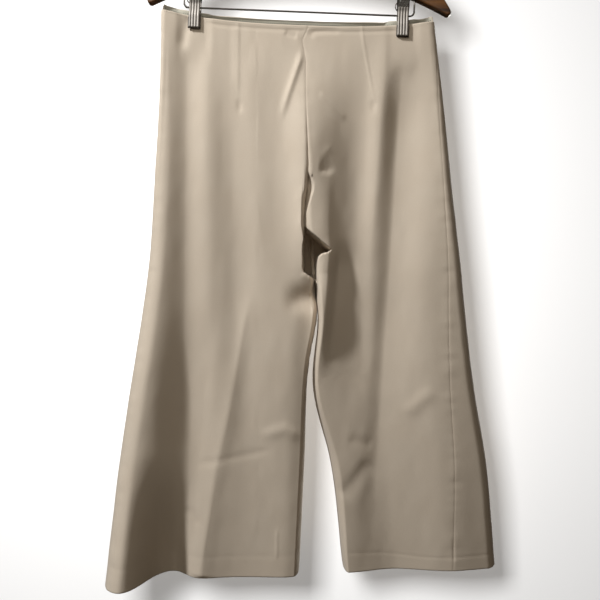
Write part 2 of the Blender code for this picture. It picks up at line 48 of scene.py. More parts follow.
def startMaterial(name, settings):
    made = bpy.data.materials.new(name)
    made.use_nodes = True
    shader = made.node_tree.nodes["Principled BSDF"]
    for socket, value in settings.items():
        shader.inputs[socket].default_value = value
    return made, made.node_tree, shader


def plug(tree, value, socket):
    if isinstance(value, bpy.types.NodeSocket):
        tree.links.new(value, socket)
    else:
        socket.default_value = value


def setAll(thing, settings):
    for key, value in settings.items():
        setattr(thing, key, value)


def addNode(tree, kind, settings={}, inputs={}):
    node = tree.nodes.new(kind)
    setAll(node, settings)
    for key, value in inputs.items():
        plug(tree, value, node.inputs[key])
    return node


def calc(tree, operation, first, second):
    return addNode(tree, "ShaderNodeMath", {"operation": operation}, {0: first, 1: second}).outputs[0]


def stretch(tree, value, times, plus):
    return calc(tree, "ADD", calc(tree, "MULTIPLY", value, times), plus)


def mixColour(tree, factor, first, second):
    return addNode(tree, "ShaderNodeMix", {"data_type": "RGBA"}, {0: factor, 6: first, 7: second}).outputs[2]


def scaleColour(tree, colour, factor):
    return addNode(tree, "ShaderNodeVectorMath", {"operation": "SCALE"}, {0: colour, "Scale": factor}).outputs[0]


def addNoise(tree, place, scale, detail, roughness=0.5, distortion=0.0):
    return addNode(tree, "ShaderNodeTexNoise", inputs={
        "Vector": place, "Scale": scale, "Detail": detail, "Roughness": roughness, "Distortion": distortion,
    }).outputs["Fac"]


def objectPlace(tree):
    return addNode(tree, "ShaderNodeTexCoord").outputs["Object"]


def weavePlace(tree):
    return addNode(tree, "ShaderNodeUVMap", {"uv_map": "weave"}).outputs[0]


def finishShader(tree, shader, colour, height, strength, distance):
    tree.links.new(colour, shader.inputs["Base Color"])
    bump = addNode(tree, "ShaderNodeBump", inputs={"Height": height, "Strength": strength, "Distance": distance})
    tree.links.new(bump.outputs[0], shader.inputs["Normal"])


def addObject(name, data):
    obj = bpy.data.objects.new(name, data)
    scene.collection.objects.link(obj)
    return obj


def addPiece(name, mesh, material, solid=None, smoothShade=True):
    # solid is the node that the piece stands for
    piece = addObject(name, mesh)
    mesh.name = name
    mesh.materials.clear()
    mesh.materials.append(material)
    if smoothShade:
        mesh.shade_smooth()
    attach(piece, "root")
    if solid:
        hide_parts(solid)
    return piece


def meshFrom(bm, matrix=None):
    if matrix is not None:
        bmesh.ops.transform(bm, matrix=matrix, verts=bm.verts)
    bmesh.ops.recalc_face_normals(bm, faces=bm.faces)
    mesh = bpy.data.meshes.new("piece")
    bm.to_mesh(mesh)
    bm.free()
    return mesh


def takeMesh(obj):
    # the finished mesh of a helper object, which is removed
    bpy.context.view_layer.update()
    mesh = bpy.data.meshes.new_from_object(obj.evaluated_get(bpy.context.evaluated_depsgraph_get()))
    obj.modifiers.clear()
    bpy.data.objects.remove(obj, do_unlink=True)
    return mesh


def runningSum(values):
    return np.concatenate([[0], np.cumsum(values)])


def lengthsAlong(line):
    return runningSum(np.linalg.norm(np.diff(line, axis=0), axis=1))


def smooth(t):
    t = np.clip(t, 0.0, 1.0)
    return t * t * (3 - 2 * t)


def bell(t, power=2):
    return np.exp(-np.abs(t) ** power)


def softNoise(u, v, seed):
    # smooth unevenness between -1 and 1, one bump per unit
    table = np.random.default_rng(seed).uniform(-1, 1, (97, 97))
    i, j = np.floor(u).astype(int), np.floor(v).astype(int)
    fu, fv = smooth(u - i), smooth(v - j)
    i, j = i % 96, j % 96
    low = table[i, j] * (1 - fu) + table[i + 1, j] * fu
    high = table[i, j + 1] * (1 - fu) + table[i + 1, j + 1] * fu
    return low * (1 - fv) + high * fv


# The garment's form in millimetres: x from its middle, y away from the front, drop 0 at the waist, 1 at the hem
garment = {
    "middleX": -6.0,
    "waistZ": -168.0,
    "waistTilt": -0.0404,
    "waistLift": 14.8,
    "waistHalf": 200.0,
    "backRise": 11.5,
    "hemZ": -959.0,
    "clipX": 149.5,
    "gripHalf": 22.0,
    "gripDrop": 0.075,
    "pinchedHalf": 3.0,
    "clipDip": 0.3,
    "clipDipReach": 32.0,
    "crotchDrop": 0.45,
    "seamCurveDrop": 0.17,
    "sideSeamShift": {"right": 44.0, "left": 102.0},
    "inseamShift": {"right": 34.0, "left": -124.0},
    "seamGap": 0.12,
    "sideFall": {"right": (0.09, 0.44), "left": (0.0, 0.35)},
    "backFall": (0.0, 0.35),
    "innerFall": (0.65, 1.0),
    "foldFade": (10, 5),
    "riseFade": 2.5,
    "edgeFade": 8.0,
}

seamColumns = ("drop", "x", "y", "halfDepth")
centreSeam = (
    (0, 12, 3, 7),
    (0.14, 11, 7, 12),
    (0.28, 14, 15, 16),
    (0.45, 21.5, 26, 13),
)
legColumns = ("drop", "outerX", "outerY", "midY", "halfDepth", "outerTurn", "innerX", "innerY", "innerTurn")
legSizes = {
    "right": (
        (0, -198, -1, 3, 7, 9, 12, 3, 13),
        (0.14, -199.5, -5, 8, 12, 16, 11, 6, 13),
        (0.32, -207.5, -3, 17, 22, 24, 16, 17, 10),
        (0.45, -215.5, -1, 23, 28, 27, 21.5, 26, 7),
        (0.52, -223, -1, 26, 31, 29, 26, 26, 7),
        (0.61, -234, -2, 30, 35, 31, 15, 28, 7),
        (0.8, -256, -3, 38, 40, 31, 8, 34, 8),
        (1, -272, -13, 45, 45, 32, 0, 40, 8),
    ),
    "left": (
        (0, 195, 2, 3, 7, 12, 12, 3, 13),
        (0.14, 209, 8, 8, 12, 14, 11, 6, 13),
        (0.32, 226, 18, 17, 22, 16, 16, 17, 10),
        (0.45, 239, 27, 23, 28, 17, 21.5, 26, 9),
        (0.52, 245, 31, 28, 30, 18, 28, 23, 7),
        (0.66, 260, 41, 37, 34, 19, 21, 34, 8),
        (0.8, 280, 50, 47, 37, 20, 47, 43, 12),
        (1, 297.5, 68, 60, 40, 20, 66, 50, 7),
    ),
}
# Folds run from xWaist to xHem, grow from start to full and die away from fade to end, or stay to the hem
stays = (9, 10)
foldColumns = (
    "xWaist", "xHem", "start", "full", "fade", "end", "height", "lowWidth", "highWidth", "sharpness",
)
legFolds = {
    ("right", "front"): (
        (-161, -167, -0.06, 0.12, 0.6, 1, -12.5, 27, 25, 1.8),
        (-190, -196, 0.77, 1.02, *stays, -46, 26, 33, 2.6),
        (36, 0, 0.42, 0.52, *stays, -5, 16, 20, 2),
        (-131, -116, -0.1, 0.25, 0.45, 0.8, 4, 18, 24, 2),
        (-106, -66, 0.02, 0.3, 0.6, 0.9, -4, 22, 26, 2),
        (-62, -46, 0, 0.12, 0.25, 0.45, 3.5, 30, 44, 2),
        (9, -143, 0.3, 0.9, *stays, 10, 120, 62, 1.3),
        (-26, -23, 0.4, 0.6, *stays, 2, 44, 40, 2),
    ),
    ("left", "front"): (
        (40, 40, 0.25, 0.38, 0.4, 0.46, 3, 18, 8, 2.4),
        (66, 5, 0.38, 0.44, 0.46, 0.65, 19, 18, 11, 2.6),
        (98, 80, -0.03, 0.34, 0.52, 0.84, -11, 40, 26, 2),
        (126, 66, 0, 0.15, 0.3, 0.6, 4, 18, 12, 2),
        (154, 106, 0.01, 0.2, 0.48, 1.1, -13, 18, 38, 2),
        (188, 232, -0.06, 0.6, *stays, 4, 42, 34, 2),
        (108, 138, 0.45, 1, *stays, -6, 56, 48, 2),
    ),
    ("right", "back"): (
        (-150, -215, 0, 1, *stays, 4, 34, 32, 2),
        (-105, -140, 0.02, 1, *stays, -7, 30, 32, 2),
        (-62, -72, 0.05, 1, *stays, 6, 30, 32, 2),
    ),
    ("left", "back"): (
        (150, 236, 0.02, 1, *stays, -47, 25, 27, 2),
        (104, 182, 0.02, 1, *stays, 44, 26, 28, 2),
        (60, 128, 0.08, 1, *stays, -47, 25, 27, 2),
        (36, 86, 0.46, 1, *stays, 14, 18, 20, 2),
    ),
}
layerSamples = 700


def readColumn(rows, columns, name, drop):
    # a smooth curve through one column of a table
    k = columns.index(name)
    xs = np.array([row[0] for row in rows])
    ys = np.array([row[k] for row in rows], float)
    slopes = np.gradient(ys, xs)
    i = int(np.clip(np.searchsorted(xs, drop) - 1, 0, len(xs) - 2))
    h = xs[i + 1] - xs[i]
    t = (drop - xs[i]) / h
    rise = t * t * (3 - 2 * t)
    value = ys[i] * (1 - rise) + ys[i + 1] * rise
    return value + h * slopes[i] * t * (1 - t) ** 2 - h * slopes[i + 1] * t * t * (1 - t)


def legSection(leg, drop):
    size = {name: readColumn(legSizes[leg], legColumns, name, drop) for name in legColumns[1:]}
    size["cut"] = 0.0
    if drop < garment["crotchDrop"]:
        seam = {name: readColumn(centreSeam, seamColumns, name, drop) for name in seamColumns[1:]}
        start = garment["seamCurveDrop"]
        curved = max(0.0, (drop - start) / (garment["crotchDrop"] - start))
        depth = seam["halfDepth"] * math.sqrt(1 - curved * curved)
        share = min(1.0, depth / size["halfDepth"])
        size["innerX"], size["innerY"] = seam["x"], seam["y"]
        size["cut"] = size["innerTurn"] * (1 - math.sqrt(1 - share * share))
    return size


def foldLift(fold, drop, x):
    f = dict(zip(foldColumns, fold))
    grown = smooth((drop - f["start"]) / (f["full"] - f["start"]))
    left = 1 - smooth((drop - f["fade"]) / (f["end"] - f["fade"]))
    off = x - (f["xWaist"] + (f["xHem"] - f["xWaist"]) * drop)
    width = np.where(off < 0, f["lowWidth"], f["highWidth"])
    return f["height"] * grown * left * bell(off / width, f["sharpness"])


def waistHeight(x):
    curve = garment["waistLift"] * np.abs(x / garment["waistHalf"]) ** 2.6
    return garment["waistZ"] + garment["waistTilt"] * x + curve


def legLayer(leg, side, drop):
    size = legSection(leg, drop)
    outer, inner = size["outerX"], size["innerX"]
    share = (1 - np.cos(math.pi * np.linspace(0, 1, layerSamples))) / 2
    x = outer + (inner - outer) * share
    fromOuter, fromInner = np.abs(x - outer), np.abs(inner - x)
    turnOut = np.clip(fromOuter / size["outerTurn"], 0, 1)
    turnIn = np.clip((fromInner + size["cut"]) / size["innerTurn"], 0, 1)
    half = size["halfDepth"] * np.sqrt(1 - (1 - turnOut) ** 2) * np.sqrt(1 - (1 - turnIn) ** 2)
    start, end = garment["sideFall"][leg] if side == "front" else garment["backFall"]
    middle = size["outerY"] + (size["midY"] - size["outerY"]) * smooth((share - start) / (end - start))
    start, end = garment["innerFall"]
    middle += (size["innerY"] - size["midY"]) * smooth((share - start) / (end - start))
    out = -1 if side == "front" else 1
    edge = smooth(fromOuter / garment["foldFade"][0]) * smooth(fromInner / garment["foldFade"][1])
    y = middle + out * (half + edge * sum(foldLift(fold, drop, x) for fold in legFolds[leg, side]))
    clips = (-garment["clipX"], garment["clipX"])
    for clip in clips:
        reach = math.exp(-((drop / garment["gripDrop"]) ** 6))
        grip = bell((x - clip) / garment["gripHalf"], 6) * reach
        y += (out * garment["pinchedHalf"] - y) * grip
    topSize = legSection(leg, 0)
    top = waistHeight(topSize["outerX"] + (topSize["innerX"] - topSize["outerX"]) * share)
    z = top + (garment["hemZ"] - top) * drop
    if side == "back":
        held = sum(bell((x - clip) / garment["clipDipReach"]) for clip in clips)
        rise = garment["backRise"] * max(0.0, 1 - drop / garment["crotchDrop"])
        z += rise * smooth(fromOuter / garment["riseFade"]) * (1 - garment["clipDip"] * held)
    return np.stack([x, y, z], axis=1)


ringCache = {}


def legRing(leg, drop):
    # one leg's section at a drop: how far along each point is, 0 at the outer edge, its place,
    # the way outwards, and how far it lies on the front and on the back layer
    if (leg, drop) not in ringCache:
        front, back = legLayer(leg, "front", drop), legLayer(leg, "back", drop)
        points = np.concatenate([back[::-1], front[1:]])
        along = lengthsAlong(points[:, :2])
        along -= along[layerSamples - 1]
        fade = garment["edgeFade"]
        facing = smooth(along / fade) * smooth((along[-1] - along) / fade)
        rear = smooth(-along / fade) * smooth((along - along[0]) / fade)
        step = np.gradient(points[:, :2], axis=0)
        step /= np.maximum(np.linalg.norm(step, axis=1), 1e-12)[:, None]
        turn = -1 if leg == "right" else 1
        level = np.stack([-step[:, 1] * turn, step[:, 0] * turn], axis=1)
        ringCache[leg, drop] = np.column_stack([along, points, level, facing, rear])
    return ringCache[leg, drop]


def panelEnds(leg, side, drop, along):
    crotch = garment["crotchDrop"]
    sideSeam = garment["sideSeamShift"][leg] * drop
    inseam = garment["inseamShift"][leg] * max(0.0, drop - crotch) / (1 - crotch)
    gap = garment["seamGap"] / 2
    if side == "front":
        return sideSeam + gap, along[-1] - inseam - gap
    return along[0] - inseam + gap, sideSeam - gap


# Each panel's cloth: how finely it is made, and how it lies at its edges
cloth = {
    "thickness": 1.1,
    "bendLength": 30.0,
    "seamCrowding": 2.6,
    "seamCrowdingReach": 46.0,
    "columns": {"front": 150, "back": 128},
    "edgeSteps": (0.0, 0.6, 1.2, 2.0, 3.0, 4.4, 6.0, 8.0),
    "rows": 262,
    "rowCrowding": ((3.2, 0.0, 0.03), (1.5, 0.375, 0.085), (1.6, 1.0, 0.035)),
    "crotchRows": (0.0004, 0.0012, 0.0016),
    "seamDip": 0.25,
    "seamDipWidth": 1.5,
    "seamPucker": 0.35,
    "puckerWidth": 11.0,
    "calmWaist": (12, 60),
    "sway": 0.9,
    "swaySize": (34, 190),
    "ripple": 0.22,
    "rippleSize": (12, 26),
}


def rowDrops():
    # rows crowd at the waist, round the crotch and at the hem
    crotch = garment["crotchDrop"]
    drop = np.linspace(0, 1, 4001)
    crowd = np.ones_like(drop)
    for more, place, reach in cloth["rowCrowding"]:
        crowd += more * bell((drop - place) / reach, 4)
    measure = runningSum((crowd[1:] + crowd[:-1]) / 2)
    even = np.interp(np.linspace(0, measure[-1], cloth["rows"]), measure, drop)
    close, far, clear = cloth["crotchRows"]
    even = even[np.abs(even - crotch) > clear]
    return sorted([*even, crotch - far, crotch - close, crotch + close, crotch + far])


def clothRow(leg, side, drop):
    # one row across a panel, and how far each point is from its low end and its high end
    table = legRing(leg, drop)
    along = table[:, 0]
    low, high = panelEnds(leg, side, drop, along)
    if drop > garment["crotchDrop"]:
        girth = along[-1] - along[0]
        before, after = table[:-1].copy(), table.copy()
        before[:, 0] -= girth
        after[:, 0] += girth
        table = np.concatenate([before, table[:-1], after])
        along = table[:, 0]
    heading = np.unwrap(np.arctan2(*np.diff(table[:, 1:3], axis=0).T[::-1]))
    turned = np.concatenate([[0], np.abs(np.diff(heading)), [0]])
    turned = (turned[:-1] + turned[1:]) / 2
    crowd = np.ones(len(along) - 1)
    if side == "front":
        crowd += cloth["seamCrowding"] * bell((along[1:] - high) / cloth["seamCrowdingReach"])
    measure = runningSum(crowd * (np.diff(along) + cloth["bendLength"] * turned))
    steps = np.array(cloth["edgeSteps"])
    starts, ends = low + steps[:-1], high - steps[:-1][::-1]
    inside = np.interp([low + steps[-1], high - steps[-1]], along, measure)
    middle = np.interp(np.linspace(*inside, cloth["columns"][side] + 1), measure, along)
    places = np.concatenate([starts, middle, ends])
    row = np.stack([np.interp(places, along, table[:, k]) for k in range(1, table.shape[1])], axis=1)
    return row, places - low, high - places


def alongWaist(below, start, end):
    # a line that follows the waist edge
    return tuple((x, waistHeight(x) - below) for x in np.linspace(start, end, 18))


# Darts, seam lines, wrinkles and pressed creases on the front layer. Each follows its path in millimetres and is
# raised by height, with a width on its left or lower side and one on its right or upper side, and fades at its ends
creaseColumns = ("height", "leftWidth", "rightWidth", "fadeIn", "fadeOut", "path")
pressedCrease = ((-65.7, -540), (-80.2, -612), (-100.2, -724), (-117.7, -805), (-135.7, -921), (-139, -960))
hemStitching = (
    (-0.25, 2, 1.8, 8, 8, ((-262, -929), (-6, -929))),
    (-0.25, 2, 1.8, 8, 8, ((68, -930), (180, -940), (290, -938))),
)
frontCreases = (
    # darts
    (0.55, 2.4, 1.4, 4, 30, ((-86.5, -160), (-86.9, -218), (-87.3, -276))),
    (0.7, 5, 5, 10, 30, ((-91, -165), (-91.5, -218), (-90, -270))),
    (-1.2, 4, 4, 6, 8, ((-85.8, -274), (-85.2, -296))),
    (0.55, 2.4, 1.4, 4, 30, ((89.7, -160), (93.3, -194), (100.6, -234), (109, -278))),
    (-1, 4, 4, 6, 8, ((108, -274), (106, -294))),
    # slanting highlight fold
    (2.6, 5, 4, 30, 40, ((7, -196), (4.3, -211), (-4.3, -237), (-12.8, -263), (-21.3, -289), (-28, -310))),
    # pressed crease of the right leg, broad and fine
    (1.8, 12, 12, 60, 6, pressedCrease),
    (0.6, 5, 2.4, 60, 6, pressedCrease),
    (0.6, 8, 6, 30, 30, ((-65.8, -400), (-58.7, -448), (-51.4, -497))),
    # wrinkles of the right leg
    (-0.7, 4, 5, 25, 25, ((-152, -798), (-91.5, -787), (-33, -775))),
    (1.4, 9, 7, 20, 20, ((-60, -757), (-19.8, -746), (8, -761))),
    (-0.7, 5, 4, 8, 8, ((-169, -862), (-153.4, -865), (-142, -886))),
    # left leg
    (1.6, 10, 9, 20, 20, ((150, -732), (175.3, -708), (199, -688))),
    (-1, 8, 8, 10, 10, ((70, -763), (91.6, -770), (110, -776))),
    (-1.8, 12, 9, 14, 14, ((58, -851), (81.3, -823), (105, -795))),
    (1, 4, 4, 8, 8, ((28, -267), (50.2, -287), (68, -303))),
    (-2.2, 5, 14, 10, 14, ((26, -376), (40, -378), (54, -371))),
    (0.5, 4, 4, 8, 8, ((47, -343), (38, -352), (31, -362))),
    # hem stitching, and the marks of the edge under it
    *hemStitching,
    (0.6, 2, 2, 5, 5, ((-31.7, -890), (-31.7, -933))),
    (-0.5, 2, 2, 5, 5, ((224.6, -909), (227.4, -946))),
    # puckers at the waist
    (0.3, 2.2, 2.4, 12, 12, alongWaist(3.2, -150, 190)),
    (-0.45, 3.4, 2.4, 20, 20, alongWaist(7.5, -138, 150)),
    (-0.9, 4, 5, 6, 6, ((-22, -178), (-10, -182), (-1, -184))),
    (-0.8, 5, 4, 5, 12, ((13, -184), (24, -177), (40, -175), (62, -176))),
    (-2.2, 8, 6, 5, 18, ((-154, -157), (-160, -164), (-164, -180), (-167, -206))),
    # light edge and dent under the hollow at the crotch
    (0.7, 4, 3, 5, 5, ((2, -525), (14, -531), (24, -538))),
    (-8, 15, 19, 30, 8, ((-26, -565), (-8, -563), (12, -560), (27, -562))),
)

# The same on the back layer
backCreases = (
    *hemStitching,
    (0.3, 2.2, 2.4, 12, 12, alongWaist(-3, -150, 190)),
    (-0.45, 3.4, 2.4, 20, 20, alongWaist(1, -138, 150)),
    (0.55, 2.4, 1.4, 4, 40, ((-92, -156), (-93, -220), (-94, -300))),
    (0.55, 2.4, 1.4, 4, 40, ((95, -160), (97, -220), (100, -300))),
    (1.5, 11, 9, 40, 40, ((-14, -360), (-50, -322), (-110, -292), (-150, -284))),
    (1.4, 9, 11, 40, 40, ((16, -372), (60, -338), (110, -312), (160, -300))),
    (-1.1, 9, 9, 25, 25, ((-24, -470), (-70, -458), (-120, -428))),
    (1.4, 10, 8, 25, 25, ((-170, -742), (-120, -726), (-66, -734))),
    (-1.2, 9, 9, 20, 20, ((-120, -846), (-90, -824), (-52, -812))),
    (-1, 8, 8, 16, 16, ((210, -668), (236, -640), (252, -606))),
    (1.6, 13, 13, 60, 6, ((-96, -520), (-118, -700), (-148, -958))),
)


def creaseLift(x, z, creases):
    total = np.zeros_like(x)
    for crease in creases:
        c = dict(zip(creaseColumns, crease))
        path = np.array(c["path"], float)
        best = np.full(x.shape, 1e9)
        place = np.zeros_like(x)
        signed = np.zeros_like(x)
        done = 0.0
        for start, end in zip(path, path[1:]):
            length = np.hypot(*(end - start))
            dx, dz = (end - start) / length
            t = np.clip((x - start[0]) * dx + (z - start[1]) * dz, 0, length)
            offX, offZ = x - start[0] - t * dx, z - start[1] - t * dz
            gap = np.hypot(offX, offZ)
            near = gap < best
            side = np.where(dx * offZ - dz * offX > 0, 1, -1)
            best = np.where(near, gap, best)
            signed = np.where(near, gap * side, signed)
            place = np.where(near, done + t, place)
            done += length
        width = np.where(signed < 0, c["leftWidth"], c["rightWidth"])
        ends = smooth(place / c["fadeIn"]) * smooth((done - place) / c["fadeOut"])
        total += c["height"] * ends * bell(signed / width)
    return total


# Where the legs part at the crotch the cloth turns in sharply. The outline is its hollow, the leaf a shallow turn
# beside it, seamPath how far the centre seam wanders, and seamRise how it stands forward
parting = {
    "outline": (
        (7.5, -458), (46.2, -490.5), (40.3, -494.5), (33.1, -495.8), (28.3, -500), (26.6, -510), (25.8, -534),
        (5.9, -522), (5, -490),
    ),
    "turn": 2.6,
    "lip": 0.4,
    "past": 20,
    "leaf": (
        (13, -380), (18.5, -388), (21, -400), (20.5, -409), (17.5, -420), (13, -432), (8, -446), (-4, -452),
        (-4, -380),
    ),
    "leafTurn": 5,
    "leafDepth": 9,
    "seamPath": (
        (-160, 2.3), (-168, 2.3), (-189, -7), (-218, -1.6), (-260, -1.2), (-340, 0), (-370, 0),
        (-400, -3), (-418, -6.5), (-455, -9.5), (-480, -7), (-505, -3), (-540, 0),
    ),
    "seamReach": 16,
    "seamRise": {"right": (0.03, 0.23, 0.36, 0.52, 19, 27), "left": (0.03, 0.23, 0.38, 0.44, 19, 45)},
}


def insideOutline(x, z, outline):
    # how deep inside a closed outline each place lies, 0 outside it
    outline = np.array(outline, float)
    best = np.full(x.shape, 1e9)
    within = np.zeros(x.shape, bool)
    for (ax, az), (bx, bz) in zip(outline, np.roll(outline, -1, axis=0)):
        length2 = (bx - ax) ** 2 + (bz - az) ** 2
        t = np.clip(((x - ax) * (bx - ax) + (z - az) * (bz - az)) / length2, 0, 1)
        best = np.minimum(best, np.hypot(x - ax - t * (bx - ax), z - az - t * (bz - az)))
        crosses = (az > z) != (bz > z)
        within ^= crosses & (x < ax + (z - az) / np.where(bz == az, 1e-9, bz - az) * (bx - ax))
    return np.where(within, best, 0.0)


def seamShift(z):
    heights, shifts = np.array(parting["seamPath"]).T
    return np.interp(z, heights[::-1], shifts[::-1], left=0, right=0)


def shapeParting(points, drops, leg):
    x, y, z = np.moveaxis(points, -1, 0)
    gap = np.abs(points[:, -1:, 0] - x)
    seamY = np.maximum.accumulate(points[:, -1:, 1], axis=0) + parting["past"]
    x += seamShift(z) * bell(gap / parting["seamReach"])
    drops = np.array(drops)[:, None]
    start, full, fade, end, height, reach = parting["seamRise"][leg]
    rise = height * smooth((drops - start) / (full - start)) * (1 - smooth((drops - fade) / (end - fade)))
    y -= rise * bell(gap / reach)
    if leg == "left":
        y += parting["leafDepth"] * smooth(insideOutline(x, z, parting["leaf"]) / parting["leafTurn"])
    inside = insideOutline(x, z, parting["outline"])
    deep = smooth((inside + parting["lip"]) / parting["turn"]) * (inside > 0)
    y += deep * np.maximum(0, seamY - y)


def gridNormals(points):
    normal = np.cross(np.gradient(points, axis=0), np.gradient(points, axis=1))
    return normal / np.maximum(np.linalg.norm(normal, axis=2), 1e-9)[:, :, None]


def makePanel(leg, side):
    drops = rowDrops()
    rows, fromLow, fromHigh = zip(*(clothRow(leg, side, drop) for drop in drops))
    rows, fromLow, fromHigh = np.array(rows), np.array(fromLow), np.array(fromHigh)
    points, level, facing, rear = rows[:, :, :3], rows[:, :, 3:5], rows[:, :, 5], rows[:, :, 6]
    if side == "front":
        shapeParting(points, drops, leg)
    normal = gridNormals(points)
    sign = np.sign(np.sum(normal[:, :, :2] * level))
    normal *= sign
    x, z = points[:, :, 0], points[:, :, 2]
    lift = facing * creaseLift(x, z, frontCreases) + rear * creaseLift(x, z, backCreases)
    (still, fade), (wide, tall), (short, low) = cloth["calmWaist"], cloth["swaySize"], cloth["rippleSize"]
    calm = smooth((waistHeight(x) - z - still) / fade)
    lift += cloth["sway"] * calm * softNoise(x / wide + 11, z / tall, 3) * (facing + rear)
    lift += cloth["ripple"] * softNoise(x / short + 5, z / low, 8) * (facing + rear)
    for gap in (fromLow, fromHigh):
        lift -= cloth["seamDip"] * bell(gap / cloth["seamDipWidth"])
        lift += cloth["seamPucker"] * bell(gap / cloth["puckerWidth"]) * softNoise(gap / 40 + 3, z / 9, 5)
    outer = points + normal * lift[:, :, None]
    inner = outer - normal * cloth["thickness"]
    # above the crotch the legs meet at the centre seam and go no further
    toward = -1 if leg == "right" else 1
    for k, drop in enumerate(drops):
        if drop < garment["crotchDrop"]:
            limit = legSection(leg, drop)["innerX"] + toward * garment["seamGap"] / 2
            if side == "front":
                limit = limit + seamShift(points[k, :, 2])
            for layer in (outer, inner):
                layer[k, :, 0] = toward * np.maximum(toward * layer[k, :, 0], toward * limit)
    for layer in (outer, inner):
        layer[:, :, 0] += garment["middleX"]
    down = lengthsAlong(points[:, points.shape[1] // 2])
    uv = weaveMap(fromLow, -down[:, None])
    return {"outer": outer, "inner": inner, "normal": normal, "uv": uv, "sign": sign, "drops": np.array(drops)}


def weaveMap(across, down):
    # where each point of a grid lies on the flat cloth
    return np.stack(np.broadcast_arrays(across, down), axis=2)


edgeRound = 0.35


def borderOrder(rows, columns):
    # the points round the edge of a grid, and their neighbours one row or column in
    grid = np.arange(rows * columns).reshape(rows, columns)
    near = grid.copy()
    near[0], near[-1] = grid[1], grid[-2]
    near[:, 0], near[:, -1] = near[:, 1], near[:, -2]
    order, inward = [], []
    for line in ((0, slice(0, -1)), (slice(0, -1), -1), (-1, slice(None, 0, -1)), (slice(None, 0, -1), 0)):
        order.extend(grid[line].tolist())
        inward.extend(near[line].tolist())
    return np.array(order), np.array(inward)


def shellMesh(outer, inner, uv, sign, closed=False):
    # a closed wall between two grids of points in millimetres, with rounded edges all round
    if closed:
        outer, inner = [np.concatenate([grid, grid[:, :1]], axis=1) for grid in (outer, inner)]
        uv = np.concatenate([uv, uv[:, :1] + (uv[:, -1:] - uv[:, -2:-1])], axis=1)
    rows, columns = outer.shape[:2]
    count = rows * columns
    flatOuter, flatInner = outer.reshape(-1, 3), inner.reshape(-1, 3)
    order, inward = borderOrder(rows, columns)
    reach = flatOuter[order] - flatOuter[inward]
    reach /= np.maximum(np.linalg.norm(reach, axis=1), 1e-9)[:, None]
    thick = np.linalg.norm(flatOuter[order] - flatInner[order], axis=1)
    middle = (flatOuter[order] + flatInner[order]) / 2 + reach * thick[:, None] * edgeRound
    grid = np.arange(count).reshape(rows, columns)
    quads = np.stack([grid[:-1, :-1], grid[1:, :-1], grid[1:, 1:], grid[:-1, 1:]], axis=2).reshape(-1, 4)
    faces = [quads, quads[:, ::-1] + count]
    k = np.arange(len(order))
    j = (k + 1) % len(order)
    faces.append(np.stack([order[k], order[j], 2 * count + j, 2 * count + k], axis=1))
    faces.append(np.stack([2 * count + k, 2 * count + j, count + order[j], count + order[k]], axis=1))
    faces = np.concatenate(faces)
    if sign < 0:
        faces = faces[:, ::-1]
    points = np.concatenate([flatOuter, flatInner, middle]) * mm
    flatUv = uv.reshape(-1, 2) * mm
    flatUv = np.concatenate([flatUv, flatUv, flatUv[order]])
    mesh = bpy.data.meshes.new("shell")
    mesh.from_pydata(points.tolist(), [], faces.tolist())
    layer = mesh.uv_layers.new(name="weave")
    corners = np.empty(len(mesh.loops), dtype=np.int32)
    mesh.loops.foreach_get("vertex_index", corners)
    layer.data.foreach_set("uv", flatUv[corners].astype(np.float32).ravel())
    if closed:
        bm = bmesh.new()
        bm.from_mesh(mesh)
        bmesh.ops.remove_doubles(bm, verts=bm.verts, dist=0.002 * mm)
        seen = {}
        for face in bm.faces:
            seen.setdefault(frozenset(face.verts), []).append(face)
        twice = [face for same in seen.values() if len(same) > 1 for face in same]
        bmesh.ops.delete(bm, geom=twice, context="FACES_ONLY")
        bm.to_mesh(mesh)
        bm.free()
    return mesh


# Cloth and tape finishes, on the pieces' own UV map in metres
crepe = {
    "colour": (0.61, 0.54, 0.455, 1),
    "warmer": (0.58, 0.50, 0.41, 1),
    "thread": 0.00042,
    "grain": 0.0016,
    "mottle": 0.05,
}
tapeFinish = {"colour": (0.45, 0.44, 0.375), "rib": 0.0009}


def crepeMaterial():
    made, tree, shader = startMaterial("champagneCrepe", {
        "Roughness": 0.72, "Sheen Weight": 0.25, "Sheen Roughness": 0.45, "Specular IOR Level": 0.35,
    })
    place = weavePlace(tree)
    split = addNode(tree, "ShaderNodeSeparateXYZ", inputs={0: place})
    turn = 2 * math.pi / crepe["thread"]
    warp, weft = [calc(tree, "SINE", calc(tree, "MULTIPLY", split.outputs[k], turn), 0.0) for k in (0, 1)]
    weave = calc(tree, "MULTIPLY", warp, weft)
    grain = addNoise(tree, place, 1 / crepe["grain"], 3.0, 0.6)
    mottle = addNoise(tree, place, 1 / crepe["mottle"], 4.0, 0.55)
    colour = mixColour(tree, mottle, crepe["colour"], crepe["warmer"])
    height = calc(tree, "ADD", calc(tree, "MULTIPLY", grain, 0.7), calc(tree, "MULTIPLY", weave, 0.12))
    finishShader(tree, shader, scaleColour(tree, colour, stretch(tree, grain, 0.12, 0.94)), height, 0.35, 0.0004)
    return made


def tapeMaterial():
    made, tree, shader = startMaterial("greyGreenTape", {"Roughness": 0.8})
    place = weavePlace(tree)
    split = addNode(tree, "ShaderNodeSeparateXYZ", inputs={0: place})
    ribs = calc(tree, "SINE", calc(tree, "MULTIPLY", split.outputs[0], 2 * math.pi / tapeFinish["rib"]), 0.0)
    fibre = addNoise(tree, place, 900.0, 2.0)
    colour = scaleColour(tree, tapeFinish["colour"], stretch(tree, fibre, 0.25, 0.87))
    finishShader(tree, shader, colour, ribs, 0.3, 0.0002)
    return made


crepeCloth = crepeMaterial()
greyTape = tapeMaterial()

